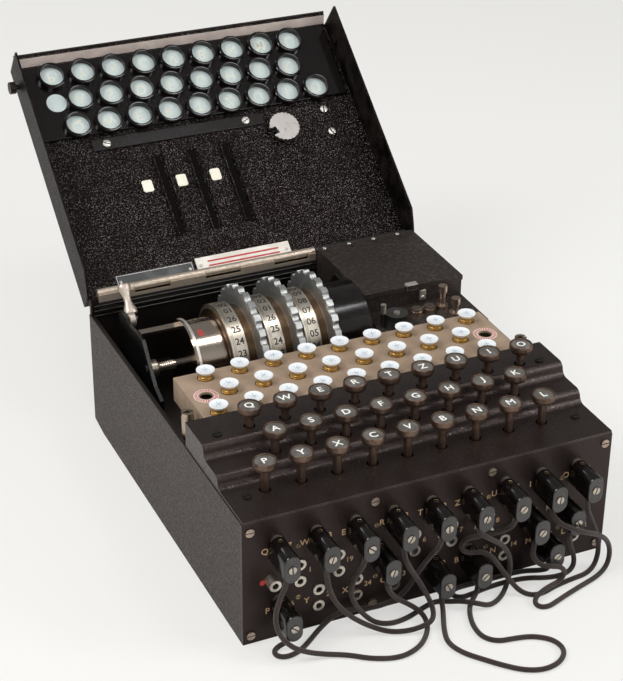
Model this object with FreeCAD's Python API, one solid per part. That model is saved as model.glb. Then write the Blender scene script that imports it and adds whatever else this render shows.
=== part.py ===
"""Rotor cipher machine: every piece as its own solid, in millimetres, +Z up.

X runs to the operator's right, Y runs back towards the hinge. The origin is the centre of the base's
underside. The lid is made where it closes and then swung open about the hinge rod.
"""
import FreeCAD, Part
import math
import os

V = FreeCAD.Vector
X_AXIS = V(1, 0, 0)
Y_AXIS = V(0, 1, 0)
Z_AXIS = V(0, 0, 1)

# ---------------------------------------------------------------- driving dimensions
# fits
face_gap = 0.2              # between sheet parts that lie side by side
screw_clearance = 0.1       # on a screw's shank
running_fit = 0.05          # between a shaft and its bore, on the radius
working_gap = 1.0           # between parts that pass each other

# case
case_width = 257.0
keyboard_depth = 93.5       # from the front to the rear edge of the keyboard cover
lamp_bay_depth = 59.0       # on to the rear edge of the lamp panel
rotor_bay_depth = 131.5     # on to the outside of the rear wall
case_wall = 3.0
base_thickness = 4.0
side_wall_height = 89.5
rear_wall_height = 101.5
rear_wall_step = 0.6        # the raised rear wall stands in from the side walls
rear_chamfer_depth = 19.0
rear_chamfer_height = 3.0
lip_width = 10.0            # flange behind the front panel
base_lip_height = 8.2
lip_thickness = 2.0
ledge_width = 6.0           # carries the deck
ledge_height = 3.0

# front plug panel
panel_thickness = 3.0
board_thickness = 6.0
board_side_margin = 14.5
board_bottom_margin = 9.0
board_top_margin = 12.0
plug_end_margin = 23.7      # from the last plug of a nine-plug row to the case's side
plug_top_row_offset = -1.0
plug_middle_row_offset = 1.2
plug_lower_row_offset = 0.7
plug_lower_row_height = 22.1
plug_row_spacing = 22.2
pin_spacing = 12.3
pin_radius = 1.95
pin_clearance = 0.1
pin_length = 16.0
socket_ring_radius = 3.9
socket_ring_height = 1.2
socket_barrel_radius = 3.0
socket_length = 18.0
plug_width = 11.2
plug_height = 19.5
plug_length = 22.4
plug_bevel = 0.8
plug_screw_radius = 2.6
plug_screw_height = 0.8
jack_inset = 18.5           # from the case's side
jack_height = 45.0
jack_radius = 3.9
jack_length = 8.0           # that stands out of the panel
panel_screw_inset = 5.1     # from the case's side
panel_screw_inner = (-40.5, 41.0)
panel_screw_drop = 6.3      # below the panel's top edge
panel_screw_rise = 6.2      # above its lower edge

# keyboard
key_end_margin = 31.1       # from the last key of a nine-key row to the cover's side
key_top_row = (73.7, 123.5, 4.3)        # distance behind the front, height of the cap, offset in x
key_middle_row = (52.6, 117.0, 0.6)
key_lower_row = (27.3, 113.0, -5.0)
key_cap_radius = 7.6
key_cap_height = 5.6
key_rim_width = 0.9
key_glass_recess = 0.5
key_glass_thickness = 1.6
key_stem_radius = 3.2
key_rod_radius = 2.0
key_shoulder_height = 78.0
key_foot_height = 51.0
key_travel = 7.0
stem_clearance = 0.6
spring_radius = 2.9
spring_bore_radius = 2.3

# keyboard cover
cover_thickness = 2.0
cover_inset = 0.6
cover_front_height = 91.5
cover_middle_height = 99.6
cover_rear_height = 108.2
cover_first_wave = (34.5, 44.5)         # distances behind the front
cover_second_wave = (57.5, 67.5)
cover_screw_inset = 12.9    # from the cover's side
cover_screw_front = 24.0    # distances behind the front
cover_screw_rear = 72.0
cover_lip_drop = 1.0
cover_front_flange = 10.0

# chassis
deck_height = 43.0
deck_thickness = 3.0
deck_front_inset = 30.0     # behind the front
guide_height = 60.0
guide_thickness = 2.0
guide_front_inset = 21.0    # behind the front
guide_rear_gap = 11.5       # in front of the cover's rear edge
guide_side_gap = 7.5        # from the side walls
guide_leg_thickness = 2.5

# lamps
lamp_end_margin = 17.0      # from the last lamp of a nine-lamp row to the panel's end
lamp_rear_row = (8.0, 2.6)              # distance from the panel's nearer edge, offset in x
lamp_front_row = (11.0, -5.5)
lamp_middle_offset = -1.5
lamp_panel_height = 105.0
lamp_panel_thickness = 1.5
lamp_panel_side_gap = 11.7  # from the side walls
lamp_panel_underlap = 3.5   # under the keyboard cover
lamp_panel_flange = 17.0
lamp_head_radius = 6.6
lamp_head_height = 2.6
lamp_cap_radius = 5.1
lamp_top_height = 111.4
lamp_clearance = 0.6
lamp_board_height = 93.0
lamp_board_thickness = 5.0
spare_hole_inset = 11.5     # from the lamp panel's end
spare_hole_radius = 4.4
pillar_radius = 4.0
pillar_inset = 15.8         # from the lamp panel's end
pillar_front_inset = 10.0   # from the lamp panel's edges
pillar_rear_inset = 7.5
catch_post_gap = 0.3        # from the side wall
catch_post_inset = 17.0     # behind the lamp panel's front edge
catch_post_radius = 4.1
catch_post_height = 106.5

# rotors
rotor_gap = 9.0             # between the lamp panel and the thumbwheels
rotor_z = 81.0
rotor_pitch = 27.0
first_wheel_x = -41.5
thumbwheel_radius = 46.5
thumbwheel_width = 4.5
thumb_notch_radius = 3.4
thumb_notches = 26
index_ring_radius = 36.0
index_ring_bore = 31.0
index_ring_width = 11.0
index_ring_left = -20.0      # from the thumbwheel's middle
core_radius = 33.0
core_flange_width = 1.0
contact_height = 2.4
contact_radius = 24.0
spindle_radius = 3.0
reflector_radius = 28.0
reflector_flange_radius = 30.0
reflector_gap = 1.5         # to the first index ring
reflector_width = 21.0
reflector_flange_thickness = 2.0
guide_bar_front = 11.0      # behind the rotors' axis
guide_bar_width = 6.0
guide_bar_thickness = 2.0
guide_bar_gap = 1.2         # above the left plate
entry_wheel_radius = 34.0
entry_wheel_gap = 7.0       # from the third thumbwheel's middle
entry_wheel_length = 24.5
bearing_plate_thickness = 2.5
left_plate_gap = 12.5       # from the side wall
left_plate_corners = ((-26.0, -11.0), (-14.0, -6.0), (8.0, 19.0), (18.0, 19.0), (40.0, 16.0), (56.0, 16.0))
right_plate_corners = ((-32.0, -2.0), (-16.0, 4.0), (17.0, 25.0), (34.0, 25.0), (52.0, 3.0))
plate_foot_depth = 8.0
plate_foot_thickness = 2.0
plate_foot_rear = 34.0      # behind the rotors' axis
left_foot_front = -26.0
right_foot_front = -30.0
lever_offset = 5.6          # of its middle from the left plate's outer face
lever_width = 5.0
lever_hub_radius = 5.4
lever_pivot_behind = 46.0   # behind the rotors' axis
lever_pivot_above = 15.0    # above the rotors' axis
lever_pin_radius = 2.5
lever_pin_length = 7.4
lever_knob_gap = 13.0       # from the rear wall
lever_knob_rise = 16.4      # above the pivot
lever_knob_radius = 3.6
bar_behind = 44.5           # behind the rotors' axis
bar_below = 29.0            # below the rotors' axis
bar_radius = 3.0
pawl_thickness = 3.0
pawl_reach = 30.0

# battery box
box_left_gap = 0.5          # from the right bearing plate
box_right_gap = 0.5         # from the side wall
box_rear_gap = 1.6          # from the rear wall
box_above_hinge = 3.0
box_clasp_drop = 11.5       # of its lower end below the box's edge
box_clasp_length = 7.5
box_wall = 1.5
box_lid_thickness = 1.5
box_lid_overhang = 1.2
box_lid_lip = 3.5
box_hinge_radius = 1.8
shelf_height = 94.0
shelf_thickness = 2.0
shelf_gap = 5.5             # behind the lamp panel
shelf_depth = 41.0          # from its front to the box
box_rivet_inset = 5.0       # of the first rivet from the box's left side
box_rivet_margin = 13.0     # of the last one from its right side
box_tab_offset = -1.5       # from the box's middle
box_clasp_offset = 7.5
switch_inset = 14.3         # from the box's left side
switch_behind = 17.5        # behind the shelf's front
switch_pin_angle = 164.0
switch_cup_radius = 9.0
switch_disc_radius = 8.0
switch_cup_height = 6.0
switch_disc_rise = 10.0     # of the disc's face above the shelf
switch_pin_radius = 2.0
switch_pin_offset = 9.6
switch_pin_rise = 17.0      # above the shelf
switch_pin_foot = 1.2
shelf_screw_insets = ((43.1, 14.4), (32.8, 14.4))                # from the box's right side and its front
terminal_insets = ((22.5, 13.5, 18.0), (19.0, 27.0, 14.0))       # the same, and the height above the shelf

# lid, in its closed place
hinge_inset = 0.2           # from the outside of the rear wall
hinge_rise = 3.5            # above the rear wall
hinge_radius = 3.0
hinge_rod_radius = 1.4
hinge_knuckles = 9
hinge_end_gap = 6.5         # from the case's side
leaf_thickness = 1.2
lid_open_angle = 141.6
lid_skin_height = 15.0       # from the hinge axis up to the lid's outer face
lid_sheet = 1.5
lid_overhang = 1.2           # past the case's side
lid_rear = -2.3              # forward of the hinge axis
lid_front_overlap = 5.7      # past the keyboard cover's rear edge
lid_rim_width = 4.5
lid_lip_width = 1.3
lid_flange_depth = 27.0
lid_flange_rear = ((16.3, 0.0), (7.3, 6.5), (1.0, 12.0))     # corners, from the rear edge and the flange's edge
lid_front_depth = 9.0
lid_rear_depth = 11.0
slot_width = 7.0
slot_behind = 36.8          # behind the rotors' axis
slot_ahead = 30.2           # in front of it
slot_cheek_depth = 3.2
slot_cheek_width = 1.0
index_window_width = 6.6
index_window_length = 5.6
index_window_ahead = 6.4    # in front of the rotors' axis
window_radius = 7.9
window_disc_radius = 8.6
window_disc_thickness = 0.8
window_plate_thickness = 2.0
window_plate_side_gap = 5.7  # from the lid's outer side
window_plate_margin = 8.3   # behind the rear windows' middle
window_plate_front_gap = 2.0
collar_radius = 9.7
collar_height = 5.0
spare_window_shift = 2.0    # outward of the lamp panel's spare hole
stiffener_gap = 4.5         # behind the window plate
stiffener_width = 9.5
stiffener_left = -88.0
stiffener_right = 50.0
stiffener_height = 1.6
stiffener_screw_insets = (11.5, 15.0)   # from its left and right ends
window_screw_inset = 2.7    # from the window plate's end
window_screw_gaps = (8.5, 33.2)         # behind its front edge
lid_screw_x = 101.0
lid_screw_gaps = (9.8, 29.8)            # behind the window plate
dial_radius = 11.9
dial_inner_radius = 9.8
dial_teeth = 24
dial_thickness = 2.4
dial_stem_radius = 3.0
dial_notch_width = 6.0
dial_height = 10.0           # of the disc's face below the lid's outer face
catch_depth = 8.8
catch_button_radius = 4.5
catch_button_height = 4.3
catch_stem_radius = 2.0
catch_travel = 2.5
plate_thickness = 0.6
black_plate = (-102.0, -42.0, 4.4, 16.0)    # x from, x to, nearest and furthest from the hinge axis
white_plate = (-39.7, 35.0, 4.8, 17.6)

# screws
screw_head_radius = 2.9
screw_head_height = 1.0
screw_shank_radius = 1.5
screw_slot_width = 0.7

# patch cords
cord_diameter = 3.4
cord_arc_share = 0.45       # of the shorter run, taken by the arc at a corner
plug_exit_y = -157.0
plug_gland_radius = 2.1
plug_gland_length = 0.5
cord_routes = (
    ("Q", "D", ((-105.8, -157.0, 50.0), (-111.0, -158.8, 42.5), (-115.5, -161.0, 30.5),
                (-114.0, -164.5, 20.0), (-108.0, -169.0, 12.0), (-98.0, -171.5, 6.5),
                (-86.0, -173.0, 2.4), (-74.0, -178.0, 1.8), (-62.0, -187.5, 1.8), (-46.0, -193.4, 1.8),
                (-31.5, -189.5, 1.8), (-21.5, -180.5, 1.8), (-15.8, -171.0, 1.8), (-15.6, -163.5, 5.0),
                (-21.5, -158.6, 9.8), (-31.5, -157.2, 17.0), (-38.1, -157.0, 26.5))),
    ("P", "T", ((-104.1, -157.0, 6.8), (-109.6, -154.0, 2.6), (-114.2, -156.6, 1.8),
                (-114.4, -161.8, 1.8), (-109.0, -165.0, 1.8), (-100.0, -163.2, 1.8), (-91.0, -157.0, 1.8),
                (-81.0, -151.0, 4.8), (-69.0, -147.6, 9.8), (-56.5, -147.0, 9.4), (-42.5, -147.0, 5.8),
                (-28.0, -147.2, 7.0), (-19.0, -147.6, 13.5), (-14.0, -149.5, 25.0), (-7.5, -153.0, 38.5),
                (-1.0, -157.0, 49.0))),
    ("W", "R", ((-79.6, -157.0, 48.0), (-77.5, -159.5, 35.0), (-71.5, -160.5, 24.0),
                (-62.5, -161.5, 14.0), (-52.0, -163.5, 6.2), (-41.5, -168.0, 1.8), (-30.5, -173.0, 2.6),
                (-20.5, -176.0, 5.9), (-13.0, -173.0, 6.2), (-9.8, -166.0, 9.5), (-12.5, -161.0, 18.0),
                (-18.0, -159.0, 29.5), (-24.0, -158.0, 40.0),
                (-27.2, -157.0, 49.0))),
    ("E", "Z", ((-53.4, -157.0, 50.0), (-60.5, -157.0, 42.0), (-63.2, -157.0, 32.5),
                (-60.8, -157.5, 22.5), (-54.5, -158.5, 12.5), (-46.5, -160.0, 4.5), (-36.0, -161.5, 1.8),
                (-23.5, -160.0, 1.8), (-10.0, -154.5, 1.8), (0.0, -152.0, 1.8), (7.5, -156.5, 2.2),
                (12.0, -163.0, 5.8), (19.5, -169.0, 6.0), (28.5, -170.5, 2.2), (38.5, -166.0, 1.8),
                (47.0, -158.5, 2.8), (52.0, -154.0, 11.0), (50.5, -154.8, 24.5), (43.0, -157.0, 36.5),
                (31.5, -158.4, 46.0), (25.2, -157.0, 50.5))),
    ("U", "O", ((51.4, -157.0, 50.0), (46.0, -155.0, 45.6), (38.0, -152.5, 43.8), (30.0, -151.3, 43.2),
                (23.4, -150.8, 43.0), (18.8, -151.0, 39.8), (19.8, -151.9, 35.0), (24.6, -153.2, 34.0),
                (30.2, -154.8, 34.0), (36.5, -156.8, 28.6), (42.0, -158.8, 19.5), (47.5, -161.8, 10.5),
                (52.5, -165.5, 3.4), (58.0, -171.0, 1.8), (66.0, -172.5, 1.8), (77.5, -168.8, 1.8),
                (91.0, -166.6, 1.8), (103.0, -165.5, 1.8), (111.5, -161.5, 4.0), (115.5, -158.5, 13.0),
                (113.5, -158.0, 25.0), (108.0, -157.5, 38.0), (103.8, -157.0, 48.5))),
    ("I", "J", ((77.6, -157.0, 51.0), (80.5, -163.0, 46.0), (88.0, -169.2, 43.0), (97.5, -170.0, 38.5),
                (108.0, -167.5, 32.5), (117.0, -164.5, 24.0), (121.0, -163.5, 13.5), (118.0, -166.0, 4.5),
                (108.5, -170.5, 1.8), (95.5, -174.5, 1.8), (81.5, -179.0, 1.8), (69.5, -183.4, 1.8),
                (62.5, -184.6, 1.8), (58.6, -182.0, 1.9), (59.2, -178.0, 3.2), (63.8, -175.0, 5.5),
                (71.5, -171.5, 6.2), (78.0, -169.6, 7.0), (81.2, -169.2, 10.6), (79.2, -169.2, 15.2),
                (73.5, -169.0, 17.4), (66.5, -166.0, 18.6), (62.8, -160.6, 23.0), (66.7, -157.0, 28.5))),
    ("K", "M", ((92.9, -157.0, 26.0), (96.2, -155.5, 17.0), (98.8, -155.5, 9.8), (98.2, -156.8, 4.2),
                (93.5, -159.0, 1.8), (85.0, -160.5, 1.8), (75.5, -158.5, 1.8), (65.5, -154.0, 1.8),
                (52.0, -152.2, 1.8), (37.0, -152.6, 1.8), (24.5, -153.6, 1.8), (16.5, -153.6, 1.8),
                (14.2, -149.6, 1.8), (16.5, -145.6, 1.8), (25.0, -145.2, 1.8), (39.0, -145.6, 1.8),
                (54.0, -145.4, 1.8), (67.0, -146.4, 1.8), (76.0, -152.0, 3.2), (79.3, -157.0, 7.2))),
    ("V", "B", ((0.7, -157.0, 7.0), (-0.2, -161.5, 2.6), (-4.5, -170.5, 1.8), (-9.5, -181.0, 1.8),
                (-13.0, -192.5, 1.8), (-9.0, -204.5, 1.8), (-0.5, -215.0, 1.8), (8.0, -225.0, 1.8),
                (17.5, -234.0, 1.8), (29.0, -238.5, 1.8), (41.5, -236.0, 1.8), (50.0, -227.0, 1.8),
                (48.5, -215.5, 1.8), (38.5, -207.5, 1.8), (27.0, -204.8, 1.8), (16.5, -203.5, 1.8),
                (9.5, -196.5, 1.8), (9.0, -185.5, 1.8), (12.5, -173.5, 1.8), (18.0, -163.5, 1.8),
                (24.5, -158.6, 3.4), (26.9, -157.0, 7.2))),
)

# ---------------------------------------------------------------- derived places
case_depth = keyboard_depth + lamp_bay_depth + rotor_bay_depth
half_width = case_width / 2
front_y = -case_depth / 2
rear_y = case_depth / 2
panel_back_y = front_y + panel_thickness
inner_x = half_width - case_wall
inner_rear_y = rear_y - case_wall
plug_pitch = (half_width - plug_end_margin) / 4
jack_x = -half_width + jack_inset
cover_half_width = half_width - cover_inset
cover_rear_y = front_y + keyboard_depth
key_pitch = (cover_half_width - key_end_margin) / 4
hinge_z = rear_wall_height + hinge_rise
box_height = hinge_z + box_above_hinge
deck_bottom = deck_height - deck_thickness
deck_front_y = front_y + deck_front_inset
guide_front_y = front_y + guide_front_inset
guide_rear_y = cover_rear_y - guide_rear_gap
guide_half_width = inner_x - guide_side_gap
lamp_panel_half_width = inner_x - lamp_panel_side_gap
lamp_panel_front_y = cover_rear_y - lamp_panel_underlap
lamp_panel_rear_y = cover_rear_y + lamp_bay_depth
lamp_pitch = (lamp_panel_half_width - lamp_end_margin) / 4
lamp_rear_y = lamp_panel_rear_y - lamp_rear_row[0]
lamp_front_y = lamp_panel_front_y + lamp_front_row[0]
lamp_middle_y = (lamp_rear_y + lamp_front_y) / 2
spare_hole_x = lamp_panel_half_width - spare_hole_inset
pillar_x = lamp_panel_half_width - pillar_inset
catch_post_x = inner_x - catch_post_gap - catch_post_radius
catch_post_y = lamp_panel_front_y + catch_post_inset
rotor_y = lamp_panel_rear_y + rotor_gap + thumbwheel_radius
wheel_x = [first_wheel_x + rotor_pitch * k for k in range(3)]
reflector_right_x = first_wheel_x + index_ring_left - reflector_gap
reflector_left_x = reflector_right_x - reflector_width
entry_wheel_left_x = wheel_x[2] + entry_wheel_gap
right_plate_x = entry_wheel_left_x + entry_wheel_length
left_plate_x = -inner_x + left_plate_gap
lever_x = left_plate_x + lever_offset
lever_pivot_y = rotor_y + lever_pivot_behind
lever_pivot_z = rotor_z + lever_pivot_above
lever_knob_y = inner_rear_y - lever_knob_gap
lever_knob_z = lever_pivot_z + lever_knob_rise
bar_y = rotor_y + bar_behind
bar_z = rotor_z - bar_below
box_left_x = right_plate_x + bearing_plate_thickness + box_left_gap
box_right_x = inner_x - box_right_gap
box_middle_x = (box_left_x + box_right_x) / 2
box_rear_y = inner_rear_y - box_rear_gap
shelf_front_y = lamp_panel_rear_y + shelf_gap
box_front_y = shelf_front_y + shelf_depth
switch_x = box_left_x + switch_inset
switch_y = shelf_front_y + switch_behind
hinge_y = rear_y - hinge_inset
hinge_half_length = half_width - hinge_end_gap
lid_half_width = half_width + lid_overhang
lid_front = hinge_y - cover_rear_y + lid_front_overlap
lid_rim_front = lid_front + lid_rim_width
slot_near = hinge_y - rotor_y - slot_behind
slot_far = hinge_y - rotor_y + slot_ahead
index_window_distance = hinge_y - rotor_y + index_window_ahead
window_plate_half_width = lid_half_width - window_plate_side_gap
window_plate_near = hinge_y - lamp_rear_y - window_plate_margin
window_plate_far = lid_front - window_plate_front_gap
spare_window_x = -spare_hole_x - spare_window_shift
stiffener_far = window_plate_near - stiffener_gap
stiffener_near = stiffener_far - stiffener_width
catch_distance = hinge_y - catch_post_y
lid_top = hinge_z + lid_skin_height
lid_under = lid_top - lid_sheet
plug_rows = (
    ("QWERTZUIO", plug_top_row_offset, plug_lower_row_height + 2 * plug_row_spacing),
    ("ASDFGHJK", plug_middle_row_offset, plug_lower_row_height + plug_row_spacing),
    ("PYXCVBNML", plug_lower_row_offset, plug_lower_row_height),
)
key_rows = (("QWERTZUIO", key_top_row), ("ASDFGHJK", key_middle_row), ("PYXCVBNML", key_lower_row))
lamp_rows = (("QWERTZUIO", lamp_rear_y, lamp_rear_row[1]), ("ASDFGHJK", lamp_middle_y, lamp_middle_offset),
             ("PYXCVBNML", lamp_front_y, lamp_front_row[1]))
plugged = "QWERTZUIODJKPVBM"


# ---------------------------------------------------------------- shape helpers
def block(x0, x1, y0, y1, z0, z1):
    """A box between two corners."""
    return Part.makeBox(x1 - x0, y1 - y0, z1 - z0, V(x0, y0, z0))


def rod(start, axis, length, radius):
    """A round bar from start along axis."""
    return Part.makeCylinder(radius, length, V(*start), axis)


def tube(start, axis, length, radius, bore):
    """A round bar with a bore right through it."""
    return rod(start, axis, length, radius).cut(rod(start, axis, length, bore))


def prism(points, axis, length):
    """A straight prism on a polygon of 3-D points."""
    wire = Part.makePolygon([V(*p) for p in points] + [V(*points[0])])
    return Part.Face(wire).extrude(axis * length)


def side_plate(outline, x0, thickness):
    """A plate across X, from its outline in (y, z)."""
    return prism([(x0, y, z) for y, z in outline], X_AXIS, thickness)


def fused(shapes):
    """One solid from shapes that touch or overlap."""
    body = shapes[0]
    if len(shapes) > 1:
        body = shapes[0].fuse(shapes[1:])
    return body.removeSplitter()


def row_places(count, offset, pitch):
    """The x places of a centred row."""
    return [offset + pitch * (i - (count - 1) / 2) for i in range(count)]


def slot_prism(x, z, width, height, y0, length):
    """A round-ended prism along Y, taller than it is wide."""
    radius = width / 2
    half = height / 2 - radius
    ends = [rod((x, y0, z + side * half), Y_AXIS, length, radius) for side in (-1, 1)]
    return fused(ends + [block(x - radius, x + radius, y0, y0 + length, z - half, z + half)])


def slotted_screw(place, axis, shank_length, radius=screw_head_radius, height=screw_head_height,
                  shank=screw_shank_radius):
    """A cheese-head screw: head above place, shank below it, driver slot across the head."""
    base = V(*place)
    head = Part.makeCylinder(radius, height, base, axis)
    cross = X_AXIS if abs(axis.x) < 0.5 else Y_AXIS
    side = axis.cross(cross)
    corner = base + axis * (height * 0.5) - cross * radius - side * (screw_slot_width / 2)
    points = [corner, corner + cross * 2 * radius, corner + cross * 2 * radius + side * screw_slot_width,
              corner + side * screw_slot_width]
    cutter = prism([tuple(p) for p in points], axis, height)
    body = head.cut(cutter)
    if shank_length > 0:
        body = body.fuse(Part.makeCylinder(shank, shank_length, base, axis * -1))
    return body.removeSplitter()


def screw_hole(place, axis, length):
    """The hole for a screw's shank, below its place."""
    start = V(*place) + axis * working_gap
    return Part.makeCylinder(screw_shank_radius + screw_clearance, length + 2 * working_gap, start, axis * -1)


# ---------------------------------------------------------------- case
panel_screw_outer = half_width - panel_screw_inset
panel_screws = [(x, front_y, z) for x in (-panel_screw_outer,) + panel_screw_inner + (panel_screw_outer,)
                for z in (side_wall_height - panel_screw_drop, panel_screw_rise)]


def case_tub():
    """Base, side walls and raised rear wall, with a lip behind the panel and ledges for the deck."""
    sides = [block(s * half_width - (case_wall if s > 0 else 0), s * half_width + (0 if s > 0 else case_wall),
                   panel_back_y, rear_y, 0, side_wall_height) for s in (-1, 1)]
    base = block(-half_width, half_width, panel_back_y, rear_y, 0, base_thickness)
    rear_low = block(-half_width, half_width, inner_rear_y, rear_y, 0, side_wall_height)
    narrow = half_width - rear_wall_step
    rear_high = block(-narrow, narrow, inner_rear_y, rear_y, side_wall_height, rear_wall_height)
    lip_back = panel_back_y + lip_thickness
    lips = [block(-inner_x, -inner_x + lip_width, panel_back_y, lip_back, 0, side_wall_height),
            block(inner_x - lip_width, inner_x, panel_back_y, lip_back, 0, side_wall_height),
            block(-inner_x, inner_x, panel_back_y, lip_back, 0, base_lip_height)]
    ledges = [block(-inner_x, -inner_x + ledge_width, deck_front_y, inner_rear_y,
                    deck_bottom - ledge_height, deck_bottom),
              block(inner_x - ledge_width, inner_x, deck_front_y, inner_rear_y,
                    deck_bottom - ledge_height, deck_bottom)]
    tub = fused(sides + [base, rear_low, rear_high] + lips + ledges)
    chamfer = side_plate([(rear_y - rear_chamfer_depth, 0), (rear_y + 1, 0),
                          (rear_y + 1, rear_chamfer_height), (rear_y, rear_chamfer_height)],
                         -half_width, case_width)
    tub = tub.cut(chamfer)
    for place in panel_screws:
        tub = tub.cut(screw_hole(place, Y_AXIS * -1, panel_thickness + lip_thickness))
    return tub


def socket_places():
    """Every socket: letter, x, z."""
    places = []
    for letters, offset, height in plug_rows:
        for letter, x in zip(letters, row_places(len(letters), offset, plug_pitch)):
            places += [(letter, x, height + side * pin_spacing / 2) for side in (1, -1)]
    return places


def plugboard_panel():
    """The front panel with a hole for each socket."""
    panel = block(-half_width, half_width, front_y, panel_back_y, 0, side_wall_height)
    hole_radius = socket_barrel_radius + screw_clearance
    holes = [rod((x, front_y - 1, z), Y_AXIS, panel_thickness + 2, hole_radius)
             for _, x, z in socket_places()]
    holes.append(rod((jack_x, front_y - 1, jack_height), Y_AXIS, panel_thickness + 2, hole_radius))
    holes += [screw_hole(place, Y_AXIS * -1, panel_thickness) for place in panel_screws]
    return panel.cut(Part.makeCompound(holes))


def socket_board():
    """Insulating board behind the panel, and the bushes that clamp it there."""
    board = block(-half_width + board_side_margin, half_width - board_side_margin, panel_back_y,
                  panel_back_y + board_thickness, board_bottom_margin, side_wall_height - board_top_margin)
    hole_radius = socket_barrel_radius + screw_clearance
    holes = [rod((x, panel_back_y - 1, z), Y_AXIS, board_thickness + 2, hole_radius)
             for _, x, z in socket_places()]
    holes.append(rod((jack_x, panel_back_y - 1, jack_height), Y_AXIS, board_thickness + 2, hole_radius))
    board = board.cut(Part.makeCompound(holes))
    bushes = []
    for _, x, z in socket_places():
        face_y = front_y - socket_ring_height
        ring = rod((x, face_y, z), Y_AXIS, socket_ring_height, socket_ring_radius)
        barrel = rod((x, front_y, z), Y_AXIS, socket_length, socket_barrel_radius)
        bore = rod((x, face_y - 1, z), Y_AXIS, pin_length + 3, pin_radius + pin_clearance)
        bushes.append(ring.fuse(barrel).removeSplitter().cut(bore))
    jack_front = rod((jack_x, front_y - jack_length, jack_height), Y_AXIS, jack_length, jack_radius)
    jack_barrel = rod((jack_x, front_y, jack_height), Y_AXIS, socket_length, socket_barrel_radius)
    jack_bore = rod((jack_x, front_y - jack_length - 1, jack_height), Y_AXIS, jack_length + pin_length,
                    pin_radius + pin_clearance)
    bushes.append(jack_front.fuse(jack_barrel).removeSplitter().cut(jack_bore))
    return [board] + bushes


def patch_plugs():
    """Two-pin plugs, pushed home against the socket rings."""
    plugs = []
    for letters, offset, height in plug_rows:
        for letter, x in zip(letters, row_places(len(letters), offset, plug_pitch)):
            if letter not in plugged:
                continue
            back_y = front_y - socket_ring_height - face_gap
            end_y = back_y - plug_length
            body = slot_prism(x, height, plug_width, plug_height, end_y, plug_length)
            end_edges = [e for e in body.Edges if e.BoundBox.YMax < end_y + 0.01]
            body = body.makeChamfer(plug_bevel, end_edges)
            pins = [rod((x, back_y - 1, height + side * pin_spacing / 2), Y_AXIS, pin_length, pin_radius)
                    for side in (1, -1)]
            gland_z = height - plug_height / 2 - plug_gland_length
            gland = rod((x, plug_exit_y, gland_z), Z_AXIS, plug_width / 2, plug_gland_radius)
            plugs.append(body.fuse(pins + [gland]).removeSplitter())
            plugs.append(slotted_screw((x, end_y, height), Y_AXIS * -1, 0, plug_screw_radius,
                                       plug_screw_height))
    return plugs


def cord_exit(letter):
    """Where the cord leaves the plug of a letter, at the flat underside of its gland."""
    for letters, offset, height in plug_rows:
        if letter in letters:
            x = row_places(len(letters), offset, plug_pitch)[letters.index(letter)]
            return V(x, plug_exit_y, height - plug_height / 2 - plug_gland_length)


def cord_path(name, points):
    """Straight runs joined by tangent arcs, as one wire."""
    edges = []
    start = points[0]
    radii = []
    for before, corner, after in zip(points, points[1:], points[2:]):
        arriving = corner - before
        leaving = after - corner
        turn = arriving.getAngle(leaving)
        reach = cord_arc_share * min(arriving.Length, leaving.Length)
        radius = reach / math.tan(turn / 2)
        radii.append(radius)
        arriving.normalize()
        leaving.normalize()
        first = corner - arriving * reach
        last = corner + leaving * reach
        inward = leaving - arriving
        inward.normalize()
        middle = corner + inward * (radius / math.cos(turn / 2) - radius)
        edges.append(Part.LineSegment(start, first).toShape())
        edges.append(Part.Arc(first, middle, last).toShape())
        start = last
    edges.append(Part.LineSegment(start, points[-1]).toShape())
    print(name, "radii", " ".join("%.1f" % radius for radius in radii))
    return Part.Wire(edges)


def patch_cords():
    """Limp cords from plug to plug, hanging and lying in front of the panel."""
    cords = []
    for first, last, inner in cord_routes:
        points = [cord_exit(first)] + [V(*p) for p in inner] + [cord_exit(last)]
        path = cord_path("cord %s-%s" % (first, last), points)
        circle = Part.Circle(points[0], points[1] - points[0], cord_diameter / 2).toShape()
        body = path.makePipeShell([Part.Wire(circle)], True, False)
        section = math.pi * cord_diameter ** 2 / 4
        share = body.Volume / section / path.Length
        print("  length %.0f, volume %.3f of section x length" % (path.Length, share))
        cords.append(body)
    return cords


# ---------------------------------------------------------------- keyboard
def wave(low_y, low_z, high_y, high_z):
    """Edges of a smooth S step that rises from low to high, level at both ends."""
    run = high_y - low_y
    rise = high_z - low_z
    radius = (run * run + rise * rise) / (4 * rise)
    sweep = math.asin(run / 2 / radius)
    middle = V(0, (low_y + high_y) / 2, (low_z + high_z) / 2)
    side = radius * math.sin(sweep / 2)
    lift = radius * (1 - math.cos(sweep / 2))
    lower = Part.Arc(V(0, low_y, low_z), V(0, low_y + side, low_z + lift), middle)
    upper = Part.Arc(middle, V(0, high_y - side, high_z - lift), V(0, high_y, high_z))
    return [lower.toShape(), upper.toShape()]


def cover_outline(drop):
    """The cover's top line, lowered by drop, as edges from front to rear."""
    low = cover_front_height - drop
    mid = cover_middle_height - drop
    high = cover_rear_height - drop
    first = [front_y + distance for distance in cover_first_wave]
    second = [front_y + distance for distance in cover_second_wave]
    return ([Part.makeLine(V(0, front_y, low), V(0, first[0], low))]
            + wave(first[0], low, first[1], mid)
            + [Part.makeLine(V(0, first[1], mid), V(0, second[0], mid))]
            + wave(second[0], mid, second[1], high)
            + [Part.makeLine(V(0, second[1], high), V(0, cover_rear_y, high))])


def cover_profile(top_drop, floor_edges):
    """A face in the YZ plane between the cover's top line and the given lower edges."""
    wire = Part.Wire(Part.__sortEdges__(cover_outline(top_drop) + floor_edges))
    return Part.Face(wire)


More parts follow.
